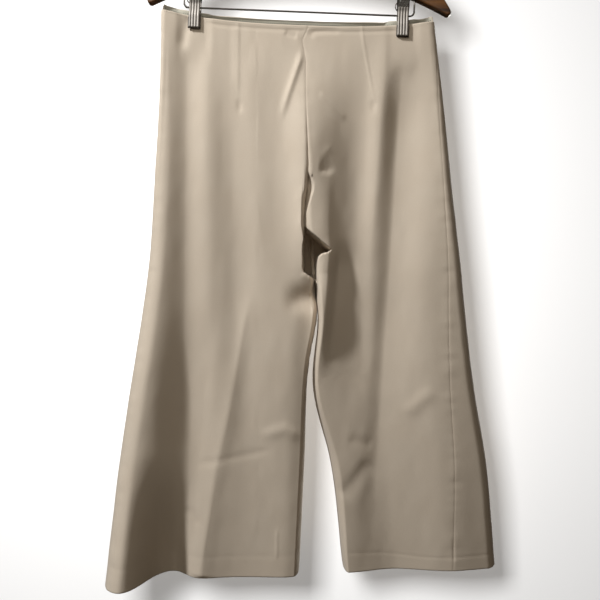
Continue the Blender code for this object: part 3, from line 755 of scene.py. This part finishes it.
panels = {}
for leg in ("right", "left"):
    for side in ("front", "back"):
        panels[leg, side] = grid = makePanel(leg, side)
        mesh = shellMesh(grid["outer"], grid["inner"], grid["uv"], grid["sign"])
        name = f"{side}{leg.capitalize()}Panel"
        addPiece(name, mesh, crepeCloth, f"{side}_{leg}")
print("panels made")


# What is sewn inside: turned-up hems, waist tapes and the allowances behind every seam
inside = {
    "clearance": 0.3,
    "hemHeight": 26.0,
    "hemThickness": 1.0,
    "tapeHeight": 8.0,
    "tapeThickness": 0.9,
    "tapeShort": 2.0,
    "allowanceThickness": 0.6,
    "allowanceColumns": 8,
}
fullDrop = garment["waistZ"] - garment["hemZ"]


def laidInside(points, normal, thickness):
    # two grids on the inside of a panel
    near = inside["clearance"]
    return points - normal * near, points - normal * (near + thickness)


def makeHem(leg):
    points, normal = [], []
    for side in ("back", "front"):
        grid = panels[leg, side]
        rows = grid["drops"] > 1 - inside["hemHeight"] / fullDrop
        points.append(grid["inner"][rows])
        normal.append(grid["normal"][rows])
    points, normal = np.concatenate(points, axis=1), np.concatenate(normal, axis=1)
    outer, inner = laidInside(points, normal, inside["hemThickness"])
    down = np.linalg.norm(outer - outer[:1], axis=2)
    uv = weaveMap(lengthsAlong(outer[0]), -down)
    mesh = shellMesh(outer, inner, uv, panels[leg, "front"]["sign"], closed=True)
    return addPiece(f"{leg}Hem", mesh, crepeCloth, f"hem_{leg}")


def acrossBoth(side, key, rows):
    # a grid from the outer edge of the right panel to that of the left
    right, left = panels["right", side][key][rows], panels["left", side][key][rows]
    if side == "front":
        return np.concatenate([right, left[:, ::-1]], axis=1)
    return np.concatenate([right[:, ::-1], left], axis=1)


def makeTape(side):
    rows = panels["right", side]["drops"] < 0.001 + inside["tapeHeight"] / fullDrop
    rows[0] = False
    points, normal = acrossBoth(side, "inner", rows), acrossBoth(side, "normal", rows)
    low = garment["middleX"] + legSizes["right"][0][1] + inside["tapeShort"]
    high = garment["middleX"] + legSizes["left"][0][1] - inside["tapeShort"]
    kept = (points[0, :, 0] > low) & (points[0, :, 0] < high)
    outer, inner = laidInside(points[:, kept], normal[:, kept], inside["tapeThickness"])
    mesh = shellMesh(outer, inner, outer[:, :, [0, 2]], 1 if side == "front" else -1)
    return addPiece(f"{side}WaistTape", mesh, greyTape, f"waist_tape_{side}"), inner


def makeAllowance(name, first, second, rows):
    # a strip behind a seam, from the end columns of the panels on both sides of it
    k = inside["allowanceColumns"]
    parts = []
    for key in ("inner", "normal"):
        strips = []
        for leg, side, end in (first, second):
            grid = panels[leg, side][key][rows]
            strips.append(grid[:, -k:] if end == "high" else grid[:, :k][:, ::-1])
        parts.append(np.concatenate([strips[0], strips[1][:, ::-1]], axis=1))
    points, normal = parts
    outer, inner = laidInside(points, normal, inside["allowanceThickness"])
    sign = np.sign(np.sum(gridNormals(outer) * normal))
    mesh = shellMesh(outer, inner, weaveMap(lengthsAlong(outer[0]), outer[:, :, 2]), sign)
    return addPiece(name, mesh, crepeCloth)


hems = {leg: makeHem(leg) for leg in ("right", "left")}
tapes = {side: makeTape(side) for side in ("front", "back")}
allDrops = panels["right", "front"]["drops"]
aboveCrotch = allDrops < garment["crotchDrop"]
aboveHem = allDrops < 1 - (inside["hemHeight"] + 2) / fullDrop
for leg in ("right", "left"):
    makeAllowance(
        f"{leg}SideAllowance", (leg, "back", "high"), (leg, "front", "low"), aboveHem)
    makeAllowance(
        f"{leg}InseamAllowance", (leg, "front", "high"), (leg, "back", "low"), ~aboveCrotch & aboveHem)
for side, end in (("front", "high"), ("back", "low")):
    makeAllowance(
        f"{side}CentreAllowance", ("right", side, end), ("left", side, end), aboveCrotch)
print("hems, tapes and seam allowances made")


# The hanger, in its own upright frame in millimetres, then tilted as it hangs
hanger = {
    "tilt": 2.3,
    "span": 436.0,
    "thickness": 13.0,
    "edge": 2.8,
    "tipZ": -145.6,
    "tipHeight": 10.0,
    "lowerRise": 50.0,
    "lowerBow": 2.2,
    "upperRise": 74.0,
    "upperBow": 5.0,
    "neckZ": -58.0,
    "neckHalf": 13.0,
    "barZ": -147.3,
    "barHalf": 165.5,
    "barBend": 6.0,
    "barTopZ": -112.0,
    "barRadius": 1.3,
    "hookRadius": 2.0,
    "hookInside": 19.0,
    "hookFootZ": -84.0,
    "stemTopZ": -52.0,
}
tiltHanger = Matrix.Rotation(math.radians(hanger["tilt"]), 4, "Y") @ Matrix.Scale(mm, 4)


def joinRings(bm, rings, others):
    # faces between each ring of points and the next
    for ring, after in zip(rings, others):
        for k in range(len(ring)):
            j = (k + 1) % len(ring)
            bm.faces.new((ring[k], ring[j], after[j], after[k]))


def tubeMesh(path, radius, sides):
    # a round wire with rounded ends along a path in the XZ plane
    path = np.array(path, float)
    tangent = np.gradient(path, axis=0)
    tangent /= np.linalg.norm(tangent, axis=1)[:, None]
    across = np.array([0.0, 1.0, 0.0])
    cap = [(radius * math.cos(a), radius * math.sin(a)) for a in np.linspace(0, math.pi / 2, 6)[1:]]
    rings = [(path[0] - tangent[0] * out, tangent[0], r) for out, r in cap]
    rings += [(point, heading, radius) for point, heading in zip(path[1:-1], tangent[1:-1])]
    rings += [(path[-1] + tangent[-1] * out, tangent[-1], r) for out, r in cap[::-1]]
    bm = bmesh.new()
    loops = []
    for centre, heading, r in rings:
        other = np.cross(heading, across)
        angles = np.linspace(0, 2 * math.pi, sides, endpoint=False)
        loops.append([bm.verts.new(centre + r * (math.cos(a) * across + math.sin(a) * other)) for a in angles])
    joinRings(bm, loops, loops[1:])
    for loop, tip in ((loops[0], path[0] - tangent[0] * radius), (loops[-1], path[-1] + tangent[-1] * radius)):
        pole = bm.verts.new(tip)
        for k in range(sides):
            bm.faces.new((loop[k], loop[(k + 1) % sides], pole))
    return meshFrom(bm, tiltHanger)


def arcPoints(centre, radius, start, end, steps):
    turns = np.radians(np.linspace(start, end, steps + 1))
    return [(centre[0] + radius * math.cos(a), 0.0, centre[1] + radius * math.sin(a)) for a in turns]


def smoothPath(points, steps):
    # a smooth curve through points
    points = np.array(points, float)
    padded = np.concatenate([[2 * points[0] - points[1]], points, [2 * points[-1] - points[-2]]])
    made = []
    for a, b, c, d in zip(padded, padded[1:], padded[2:], padded[3:]):
        for t in np.linspace(0, 1, steps, endpoint=False):
            made.append(0.5 * (2 * b + (c - a) * t + (2 * a - 5 * b + 4 * c - d) * t * t
                               + (3 * b - a - 3 * c + d) * t ** 3))
    made.append(points[-1])
    return np.array(made)


varnish = {
    "dark": (0.030, 0.013, 0.007, 1),
    "light": (0.17, 0.070, 0.018, 1),
    "ringScale": (7.0, 90.0, 110.0),
    "poreScale": (90.0, 1400.0, 1400.0),
}


def woodMaterial():
    made, tree, shader = startMaterial("darkVarnishedWood", {
        "Roughness": 0.42, "Coat Weight": 0.25, "Coat Roughness": 0.3,
    })
    place = objectPlace(tree)
    along, pores = [
        addNode(tree, "ShaderNodeMapping", inputs={"Vector": place, "Scale": varnish[key]}).outputs[0]
        for key in ("ringScale", "poreScale")
    ]
    rings, pores = addNoise(tree, along, 1.0, 6.0, 0.62, 0.6), addNoise(tree, pores, 1.0, 2.0)
    ramp = addNode(tree, "ShaderNodeValToRGB", inputs={"Fac": rings})
    for stop, position, colour in zip(ramp.color_ramp.elements, (0.35, 0.68), ("dark", "light")):
        stop.position, stop.color = position, varnish[colour]
    colour = scaleColour(tree, ramp.outputs[0], stretch(tree, pores, 0.5, 0.72))
    finishShader(tree, shader, colour, pores, 0.12, 0.0003)
    return made


def metalMaterial(name, colour, roughness, scratch=2600.0):
    made, tree, shader = startMaterial(name, {"Metallic": 1.0, "Roughness": roughness})
    place = objectPlace(tree)
    spots = addNoise(tree, place, 320.0, 4.0)
    rough = stretch(tree, spots, 0.2, roughness - 0.08)
    tree.links.new(rough, shader.inputs["Roughness"])
    darker = tuple(0.72 * c for c in colour) + (1,)
    colour = mixColour(tree, spots, darker, (*colour, 1))
    finishShader(tree, shader, colour, addNoise(tree, place, scratch, 2.0), 0.06, 0.0002)
    return made


def rubberMaterial():
    made, tree, shader = startMaterial("darkRubber", {"Roughness": 0.65})
    dust = addNoise(tree, objectPlace(tree), 420.0, 3.0)
    colour = mixColour(tree, dust, (0.022, 0.018, 0.015, 1), (0.05, 0.042, 0.036, 1))
    finishShader(tree, shader, colour, dust, 0.2, 0.0003)
    return made


darkWood = woodMaterial()
chrome = metalMaterial("hookChrome", (0.62, 0.61, 0.58), 0.22)
dullSteel = metalMaterial("clipSteel", (0.34, 0.32, 0.30), 0.58)
darkSteel = metalMaterial("clipDarkSteel", (0.085, 0.08, 0.075), 0.5)
wire = metalMaterial("darkWire", (0.16, 0.15, 0.14), 0.34, 3200.0)
padRubber = rubberMaterial()


def hangerOutline():
    # the right half of the board, from the middle of its lower edge round the tip to the neck
    radius = hanger["tipHeight"] / 2
    middle = (hanger["span"] / 2 - radius, hanger["tipZ"] + radius)
    turns = np.radians(np.linspace(-117, 30, 18))
    tip = [(middle[0] + radius * math.cos(a), middle[1] + radius * math.sin(a)) for a in turns]
    (lowX, lowZ), (highX, highZ) = tip[0], tip[-1]
    shares = np.linspace(0, 1, 41)[:-1]
    low = [(lowX * s, lowZ + hanger["lowerRise"] * (1 - s ** hanger["lowerBow"])) for s in shares]
    high = [(highX * s, highZ + hanger["upperRise"] * (1 - s ** hanger["upperBow"])) for s in shares]
    width, height = hanger["neckHalf"], high[0][1]
    upper = [point for point in high[::-1] if point[0] > 1.9 * width]
    neckFoot = [upper[-1], (1.25 * width, height + 0.6), (0.95 * width, height + 4.5),
                (0.82 * width, hanger["neckZ"] - 3.0), (0.66 * width, hanger["neckZ"])]
    neck = [tuple(p) for p in smoothPath(neckFoot, 5)[1:]]
    return low + tip + upper + neck


def hangerBoard():
    half = hangerOutline()
    outline = half + [(-x, z) for x, z in half[::-1] if x > 0.01]
    curve = bpy.data.curves.new("hangerBoard", "CURVE")
    setAll(curve, {
        "dimensions": "2D", "fill_mode": "BOTH", "extrude": hanger["thickness"] / 2 - hanger["edge"],
        "bevel_depth": hanger["edge"], "offset": -hanger["edge"], "bevel_resolution": 5,
    })
    spline = curve.splines.new("POLY")
    spline.points.add(len(outline) - 1)
    spline.use_cyclic_u = True
    for point, (x, z) in zip(spline.points, outline):
        point.co = (x, z, 0, 1)
    bm = bmesh.new()
    bm.from_mesh(takeMesh(addObject("hangerBoard", curve)))
    bmesh.ops.remove_doubles(bm, verts=bm.verts, dist=0.01)
    mesh = meshFrom(bm, tiltHanger @ Matrix.Rotation(math.pi / 2, 4, "X"))
    mesh.shade_smooth()
    mesh.set_sharp_from_angle(angle=math.radians(35))
    return mesh


addPiece("hangerBoard", hangerBoard(), darkWood, "hanger_body", smoothShade=False)

hookRadius = hanger["hookInside"] + hanger["hookRadius"]
stem = [(0.0, 0.0, hanger["hookFootZ"]), (0.0, 0.0, -70.0), (0.0, 0.0, hanger["stemTopZ"])]
loop = arcPoints((0.0, -hanger["hookInside"]), hookRadius, -62, 200, 72)
bend = smoothPath([stem[1], stem[2], (3.0, 0.0, hanger["stemTopZ"] + 7), loop[0], loop[4]], 8)
hookPath = [stem[0], *[tuple(p) for p in bend], *loop[5:]]
addPiece("hangerHook", tubeMesh(hookPath, hanger["hookRadius"], 24), chrome, "hanger_hook")

low, bendR, half = hanger["barZ"], hanger["barBend"], hanger["barHalf"]
barPath = [(-half, 0.0, hanger["barTopZ"]), (-half, 0.0, low + bendR + 6)]
barPath += arcPoints((-half + bendR, low + bendR), bendR, 180, 270, 12)
barPath += [(x, 0.0, low) for x in np.linspace(-half + bendR, half - bendR, 30)[1:-1]]
barPath += arcPoints((half - bendR, low + bendR), bendR, 270, 360, 12)
barPath += [(half, 0.0, low + bendR + 6), (half, 0.0, hanger["barTopZ"])]
addPiece("hangerBar", tubeMesh(barPath, hanger["barRadius"], 16), wire, "hanger_bar")
print("hanger made")


# The clips: fluted jaws with a studded thumb end, a sleeve on the bar and two rubber pads
clip = {
    "width": 16.0,
    "plate": 1.1,
    "flutes": 4,
    "fluteDepth": 0.8,
    "cornerFrom": 0.86,
    "cornerDrop": 0.84,
    "fluteTopZ": -138.5,
    "thumbZ": -137.3,
    "padWidth": 18.0,
    "padHeight": 16.0,
    "padThick": 2.4,
    "padGap": 0.6,
    "padRibs": 5,
    "padRibDepth": 0.09,
    "padEdge": 0.7,
    "footZ": -178.5,
    "barrelRadius": 3.4,
    "barrelLength": 15.0,
    "barrelGroove": 0.35,
    "studRows": 8,
    "studColumns": 6,
    "studSize": 0.62,
    "studFlatness": 0.8,
    "springEnd": ((-7.0, -143.5), (-9.0, -141.5), (-11.2, -138.5), (-11.6, -134.5), (-10.2, -131.5)),
    "springWire": 0.8,
}
jawSide = ((-177.5, 6.3), (-160.0, 6.3), (-153.0, 4.8), (-143.0, 4.8), (-137.0, 6.5), (-119.0, 11.0))


def jawGrid(x, facing):
    heights = np.linspace(jawSide[0][0], jawSide[-1][0], 64)
    outs = np.interp(heights, *np.array(jawSide).T)
    kernel = np.exp(-np.linspace(-1.6, 1.6, 7) ** 2)
    outs = np.convolve(np.pad(outs, 3, mode="edge"), kernel / kernel.sum(), mode="valid")
    across = np.linspace(-1, 1, 57)
    flute = np.abs(np.sin(math.pi * clip["flutes"] * (across + 1) / 2)) ** 0.8
    flat = smooth((heights - clip["fluteTopZ"]) / 3)
    corner = np.clip((np.abs(across) - clip["cornerFrom"]) / (1 - clip["cornerFrom"]), 0, 1) ** 2
    face = outs[:, None] + clip["plate"] + clip["fluteDepth"] * flute[None] * (1 - flat[:, None])
    face = face - clip["cornerDrop"] * corner[None]
    xs, zs = np.meshgrid(x + clip["width"] / 2 * across, heights)
    return [np.stack([xs, facing * np.broadcast_to(ys, xs.shape), zs], axis=2) for ys in (face, outs[:, None])]


def turnHanger(points):
    a = math.radians(hanger["tilt"])
    x, y, z = np.moveaxis(points, -1, 0)
    return np.stack([x * math.cos(a) + z * math.sin(a), y, -x * math.sin(a) + z * math.cos(a)], axis=-1)


def geometryTree(name, sizes):
    tree = bpy.data.node_groups.new(name, "GeometryNodeTree")
    tree.interface.new_socket("Geometry", in_out="INPUT", socket_type="NodeSocketGeometry")
    for label, value in sizes.items():
        socket = tree.interface.new_socket(label, in_out="INPUT", socket_type="NodeSocketFloat")
        socket.default_value = value
    tree.interface.new_socket("Finish", in_out="INPUT", socket_type="NodeSocketMaterial")
    tree.interface.new_socket("Geometry", in_out="OUTPUT", socket_type="NodeSocketGeometry")
    start, end = tree.nodes.new("NodeGroupInput"), tree.nodes.new("NodeGroupOutput")
    return tree, start, end


def finishTree(tree, start, end, points, instance, **turns):
    # an instance on every point, made real and given its finish
    placed = addNode(tree, "GeometryNodeInstanceOnPoints", inputs={"Points": points, "Instance": instance, **turns})
    real = addNode(tree, "GeometryNodeRealizeInstances", inputs={0: placed.outputs[0]})
    inputs = {"Geometry": real.outputs[0], "Material": start.outputs["Finish"]}
    tree.links.new(addNode(tree, "GeometryNodeSetMaterial", inputs=inputs).outputs[0], end.inputs[0])


def runTree(tree, points, edges, material, sizes):
    # runs a tree on points in millimetres and returns a plain mesh
    mesh = bpy.data.meshes.new(tree.name)
    mesh.from_pydata((np.array(points) * mm).tolist(), edges, [])
    base = addObject(tree.name, mesh)
    modifier = base.modifiers.new("nodes", "NODES")
    modifier.node_group = tree
    values = {"Finish": material, **sizes}
    for item in tree.interface.items_tree:
        if item.item_type == "SOCKET" and item.in_out == "INPUT" and item.name in values:
            modifier[item.identifier] = values[item.name]
    return takeMesh(base)


def studTree():
    tree, start, end = geometryTree("studs", {"Radius": 0.0005, "Flatness": 0.6})
    dome = addNode(tree, "GeometryNodeMeshIcoSphere", inputs={"Radius": start.outputs["Radius"], "Subdivisions": 2})
    size = addNode(tree, "ShaderNodeCombineXYZ", inputs={0: 1.0, 1: start.outputs["Flatness"], 2: 1.0})
    flat = addNode(tree, "GeometryNodeTransform", inputs={"Geometry": dome.outputs[0], "Scale": size.outputs[0]})
    finishTree(tree, start, end, start.outputs[0], flat.outputs[0])
    return tree


def studMesh(outer):
    # studs in staggered rows over the thumb end
    rows = np.linspace(44, 60, clip["studRows"]).astype(int)
    columns = np.linspace(6, 46, clip["studColumns"]).astype(int)
    points = [outer[r, c] for k, r in enumerate(rows) for c in columns + (4 if k % 2 else 0) if c < 54]
    sizes = {"Radius": clip["studSize"] * mm, "Flatness": clip["studFlatness"]}
    return runTree(studs, points, [], chrome, sizes)


def lathe(profile, centreX, centreZ, steps=40):
    # a closed profile of (radius, x) turned round the bar
    angles = np.linspace(0, 2 * math.pi, steps, endpoint=False)
    rings = [[(centreX + x, r * math.sin(a), centreZ + r * math.cos(a)) for r, x in profile] for a in angles]
    bm = bmesh.new()
    verts = [[bm.verts.new(p) for p in ring] for ring in turnHanger(np.array(rings)) * mm]
    joinRings(bm, verts, verts[1:] + verts[:1])
    return meshFrom(bm)


def padMesh(x, facing):
    near = garment["pinchedHalf"] + clip["padGap"]
    centre = Vector((x, facing * (near + clip["padThick"] / 2), clip["footZ"] + clip["padHeight"] / 2))
    bm = bmesh.new()
    bmesh.ops.create_cube(bm, size=1)
    bmesh.ops.scale(bm, vec=(clip["padWidth"], clip["padThick"], clip["padHeight"]), verts=bm.verts)
    bmesh.ops.bevel(bm, geom=bm.edges[:], offset=clip["padEdge"], segments=3, affect="EDGES", profile=0.6)
    step = clip["padHeight"] / (clip["padRibs"] * 6)
    for k in range(1, clip["padRibs"] * 6):
        cut = (0, 0, -clip["padHeight"] / 2 + step * k)
        bmesh.ops.bisect_plane(bm, geom=bm.verts[:] + bm.edges[:] + bm.faces[:], plane_co=cut, plane_no=(0, 0, 1))
    for vert in bm.verts:
        wave = math.cos(2 * math.pi * clip["padRibs"] * vert.co.z / clip["padHeight"])
        if abs(vert.co.z) < clip["padHeight"] / 2 - 1:
            vert.co.y *= 1 - clip["padRibDepth"] * (1 - wave)
    bmesh.ops.translate(bm, vec=centre, verts=bm.verts)
    return meshFrom(bm, tiltHanger)


def darkenThumb(jaw):
    # the studded end above the flutes has a darker finish
    jaw.data.materials.append(darkSteel)
    a = math.radians(hanger["tilt"])
    for face in jaw.data.polygons:
        height = (face.center.x * math.sin(a) + face.center.z * math.cos(a)) / mm
        face.material_index = 1 if height > clip["thumbZ"] else 0


studs = studTree()
for side, x in (("right", -garment["clipX"]), ("left", garment["clipX"])):
    for facing, where in ((-1, "Front"), (1, "Back")):
        node = f"clip_{side}_{where.lower()}"
        outer, inner = [turnHanger(grid) for grid in jawGrid(x, facing)]
        mesh = shellMesh(outer, inner, outer[:, :, [0, 2]], facing)
        darkenThumb(addPiece(f"{side}{where}Jaw", mesh, dullSteel, f"{node}_jaw"))
        addPiece(f"{side}{where}Studs", studMesh(outer), chrome)
        addPiece(f"{side}{where}Pad", padMesh(x, facing), padRubber, f"{node}_pad")
    # the sleeve is grooved six times between its rounded ends
    r, bore, end = clip["barrelRadius"], hanger["barRadius"] + 0.3, clip["barrelLength"] / 2
    profile = [(bore, -end), (r - 0.6, -end), (r - 0.15, -end + 0.2), (r, -end + 0.8)]
    for k in range(1, 48):
        groove = clip["barrelGroove"] * (1 - math.cos(k * math.pi / 4)) / 2
        profile.append((r - groove, -end + 0.8 + k * (2 * end - 1.6) / 48))
    profile += [(r, end - 0.8), (r - 0.15, end - 0.2), (r - 0.6, end), (bore, end)]
    addPiece(f"{side}Sleeve", lathe(profile, x, hanger["barZ"]), dullSteel, f"clip_{side}_barrel")
    springPath = smoothPath([(x + dx, -4.0, z) for dx, z in clip["springEnd"]], 6)
    addPiece(f"{side}SpringEnd", tubeMesh(springPath, clip["springWire"], 12), wire)
print("clips made")


# Stitches along the waist tapes and under the waist edge
stitch = {
    "pitch": 3.1,
    "length": 1.35,
    "width": 1.0,
    "colour": (0.05, 0.036, 0.026),
    "edgeColour": (0.72, 0.67, 0.58),
    "below": 4.4,
    "edgeBelow": 1.6,
}


def threadMaterial(name, colour):
    made, tree, shader = startMaterial(name, {"Roughness": 0.6})
    twist = addNoise(tree, objectPlace(tree), 1800.0, 2.0)
    darker = tuple(0.6 * c for c in colour) + (1,)
    tree.links.new(mixColour(tree, twist, darker, (*colour, 1)), shader.inputs["Base Color"])
    return made


def stitchTree():
    tree, start, end = geometryTree("stitches", {"Pitch": 0.003, "Length": 0.002, "Width": 0.0005})
    length, width = start.outputs["Length"], start.outputs["Width"]
    line = addNode(tree, "GeometryNodeMeshToCurve", inputs={0: start.outputs[0]})
    inputs = {"Curve": line.outputs[0], "Length": start.outputs["Pitch"]}
    spaced = addNode(tree, "GeometryNodeResampleCurve", {"mode": "LENGTH"}, inputs)
    tangent = addNode(tree, "GeometryNodeInputTangent")
    turned = addNode(tree, "FunctionNodeAlignRotationToVector", {"axis": "X"}, {"Vector": tangent.outputs[0]})
    bead = addNode(tree, "GeometryNodeMeshUVSphere", inputs={"Segments": 8, "Rings": 6, "Radius": 0.5})
    size = addNode(tree, "ShaderNodeCombineXYZ", inputs={0: length, 1: width, 2: width})
    turns = {"Rotation": turned.outputs[0], "Scale": size.outputs[0]}
    finishTree(tree, start, end, spaced.outputs[0], bead.outputs[0], **turns)
    return tree


def sewLine(name, grid, below, ends, material):
    # stitches along the row of a grid that lies this far under its top row
    row = int(np.argmin(np.abs(grid[:, 10, 2] - grid[0, 10, 2] + below)))
    points = grid[row, ends:-ends]
    edges = [(k, k + 1) for k in range(len(points) - 1)]
    sizes = {key.capitalize(): stitch[key] * mm for key in ("pitch", "length", "width")}
    return addPiece(name, runTree(stitches, points, edges, material, sizes), material)


stitches = stitchTree()
darkThread = threadMaterial("darkThread", stitch["colour"])
creamThread = threadMaterial("creamThread", stitch["edgeColour"])
for side, (_, inner) in tapes.items():
    sewLine(f"{side}TapeStitches", inner, stitch["below"], 2, darkThread)
edge = acrossBoth("front", "outer", allDrops < 0.02)
edgeStitches = sewLine("waistEdgeStitches", edge, stitch["edgeBelow"], 8, creamThread)
print("stitches made")


# Camera, lights and the white surroundings
shot = {
    "eye": (-0.00456, -1.0, -0.562),
    "lens": 41.67,
    "surround": (0.046, 0.035, 0.023),
    "paint": (0.86, 0.86, 0.86, 1),
    "wallY": 0.175,
    "wallTop": 1.6,
    "floorZ": -1.25,
    "wide": 3.0,
}

cameraData = bpy.data.cameras.new("camera")
setAll(cameraData, {"lens": shot["lens"], "sensor_width": 36.0})
camera = addObject("camera", cameraData)
setAll(camera, {"location": shot["eye"], "rotation_euler": (math.pi / 2, 0, 0)})
scene.camera = camera


def whitePaint(name, seeThroughBack):
    made, tree, shader = startMaterial(name, {"Roughness": 0.9, "Base Color": shot["paint"]})
    if seeThroughBack:
        side = addNode(tree, "ShaderNodeNewGeometry").outputs["Backfacing"]
        clear = addNode(tree, "ShaderNodeBsdfTransparent").outputs[0]
        mix = addNode(tree, "ShaderNodeMixShader", inputs={0: side, 1: shader.outputs[0], 2: clear})
        tree.links.new(mix.outputs[0], tree.nodes["Material Output"].inputs["Surface"])
    return made


def addPlane(name, low, high, material):
    # a plane from one lower edge to the edge across from it, both running along x
    wide = shot["wide"]
    corners = [(-wide, *low), (wide, *low), (wide, *high), (-wide, *high)]
    mesh = bpy.data.meshes.new(name)
    mesh.from_pydata(corners, [], [(0, 1, 2, 3)])
    mesh.materials.append(material)
    plane = addObject(name, mesh)
    for kind in ("diffuse", "glossy", "transmission", "shadow"):
        setattr(plane, f"visible_{kind}", False)
    return plane


wide, wallY, floorZ = shot["wide"], shot["wallY"], shot["floorZ"]
wall = addPlane("wall", (wallY, floorZ), (wallY, shot["wallTop"]), whitePaint("wallPaint", True))
floor = addPlane("floor", (-wide, floorZ), (wide, floorZ), whitePaint("floorPaint", False))


# Each lamp's shape, its place and what it looks at, its size in metres or, for a sun, in degrees, power and colour
lampColumns = ("shape", "eye", "aim", "size", "power", "colour")
keyAim = Vector((0.03, 0.0, -0.50))
keyEye = keyAim - Vector((0.61, 0.40, -0.66)).normalized() * 2.6
lamps = {
    "keyLight": ("DISK", keyEye, keyAim, 0.22, 71.0, (1.0, 0.99, 0.965)),
    "wallLight": ("SQUARE", (-0.27, -1.05, -0.33), (-0.27, 0.0, -0.33), 0.29, 20.0, (1.0, 1.0, 1.0)),
    "wallBase": ("SUN", (0.0, 0.0, 0.0), (0.0, 1.0, 0.0), 10.0, 1.05, (1.0, 1.0, 1.0)),
    "fillLight": ("SQUARE", (1.2, -1.9, -0.1), (0.0, 0.0, -0.55), 1.6, 0.8, (1.0, 0.86, 0.72)),
    "topLight": ("SQUARE", (-0.3, -1.3, 0.55), (0.0, 0.0, -0.45), 1.0, 8.5, (1.0, 0.93, 0.82)),
    "floorBase": ("SUN", (0.0, 0.0, 0.0), (0.0, 0.0, -1.0), 10.0, 2.6, (1.0, 1.0, 1.0)),
    "rearLight": ("SQUARE", (0.9, 2.2, 0.5), (0.0, 0.0, -0.55), 1.2, 60.0, (1.0, 0.96, 0.88)),
}


def addLamp(name, lit, blockers=None):
    # a lamp that falls on lit alone, with shadows from everything or from blockers alone
    lamp = dict(zip(lampColumns, lamps[name]))
    sun = lamp["shape"] == "SUN"
    data = bpy.data.lights.new(name, "SUN" if sun else "AREA")
    setAll(data, {"energy": lamp["power"], "color": lamp["colour"]})
    setAll(data, {"angle": math.radians(lamp["size"])} if sun else {"shape": lamp["shape"], "size": lamp["size"]})
    light = addObject(name, data)
    light.location = lamp["eye"]
    light.rotation_euler = (Vector(lamp["aim"]) - Vector(lamp["eye"])).to_track_quat("-Z", "Y").to_euler()
    light.visible_camera = False
    for role, objects in (("receiver", lit), ("blocker", blockers)):
        if objects is not None:
            group = bpy.data.collections.new(f"{name}{role.capitalize()}s")
            for obj in objects:
                group.objects.link(obj)
            setattr(light.light_linking, f"{role}_collection", group)


shown = [obj for obj in scene.objects if obj.type == "MESH" and obj not in (wall, floor) and not obj.hide_render]
addLamp("keyLight", shown + [floor])
addLamp("wallLight", [wall])
addLamp("wallBase", [wall], [floor])
addLamp("fillLight", shown)
addLamp("topLight", shown)
addLamp("floorBase", [floor], [wall])
addLamp("rearLight", shown)

# the camera sees a white surround, and the light that it gives is warm and dim
world = scene.world or bpy.data.worlds.new("surround")
scene.world = world
world.use_nodes = True
tree = world.node_tree
tree.nodes.clear()
seen = addNode(tree, "ShaderNodeLightPath").outputs["Is Camera Ray"]
dim, bright = [
    addNode(tree, "ShaderNodeBackground", inputs={"Color": (*colour, 1), "Strength": 1.0}).outputs[0]
    for colour in (shot["surround"], (1, 1, 1))
]
mix = addNode(tree, "ShaderNodeMixShader", inputs={0: seen, 1: dim, 2: bright})
addNode(tree, "ShaderNodeOutputWorld", inputs={"Surface": mix.outputs[0]})
scene.view_settings.view_transform = "Standard"
print("camera and lights made")
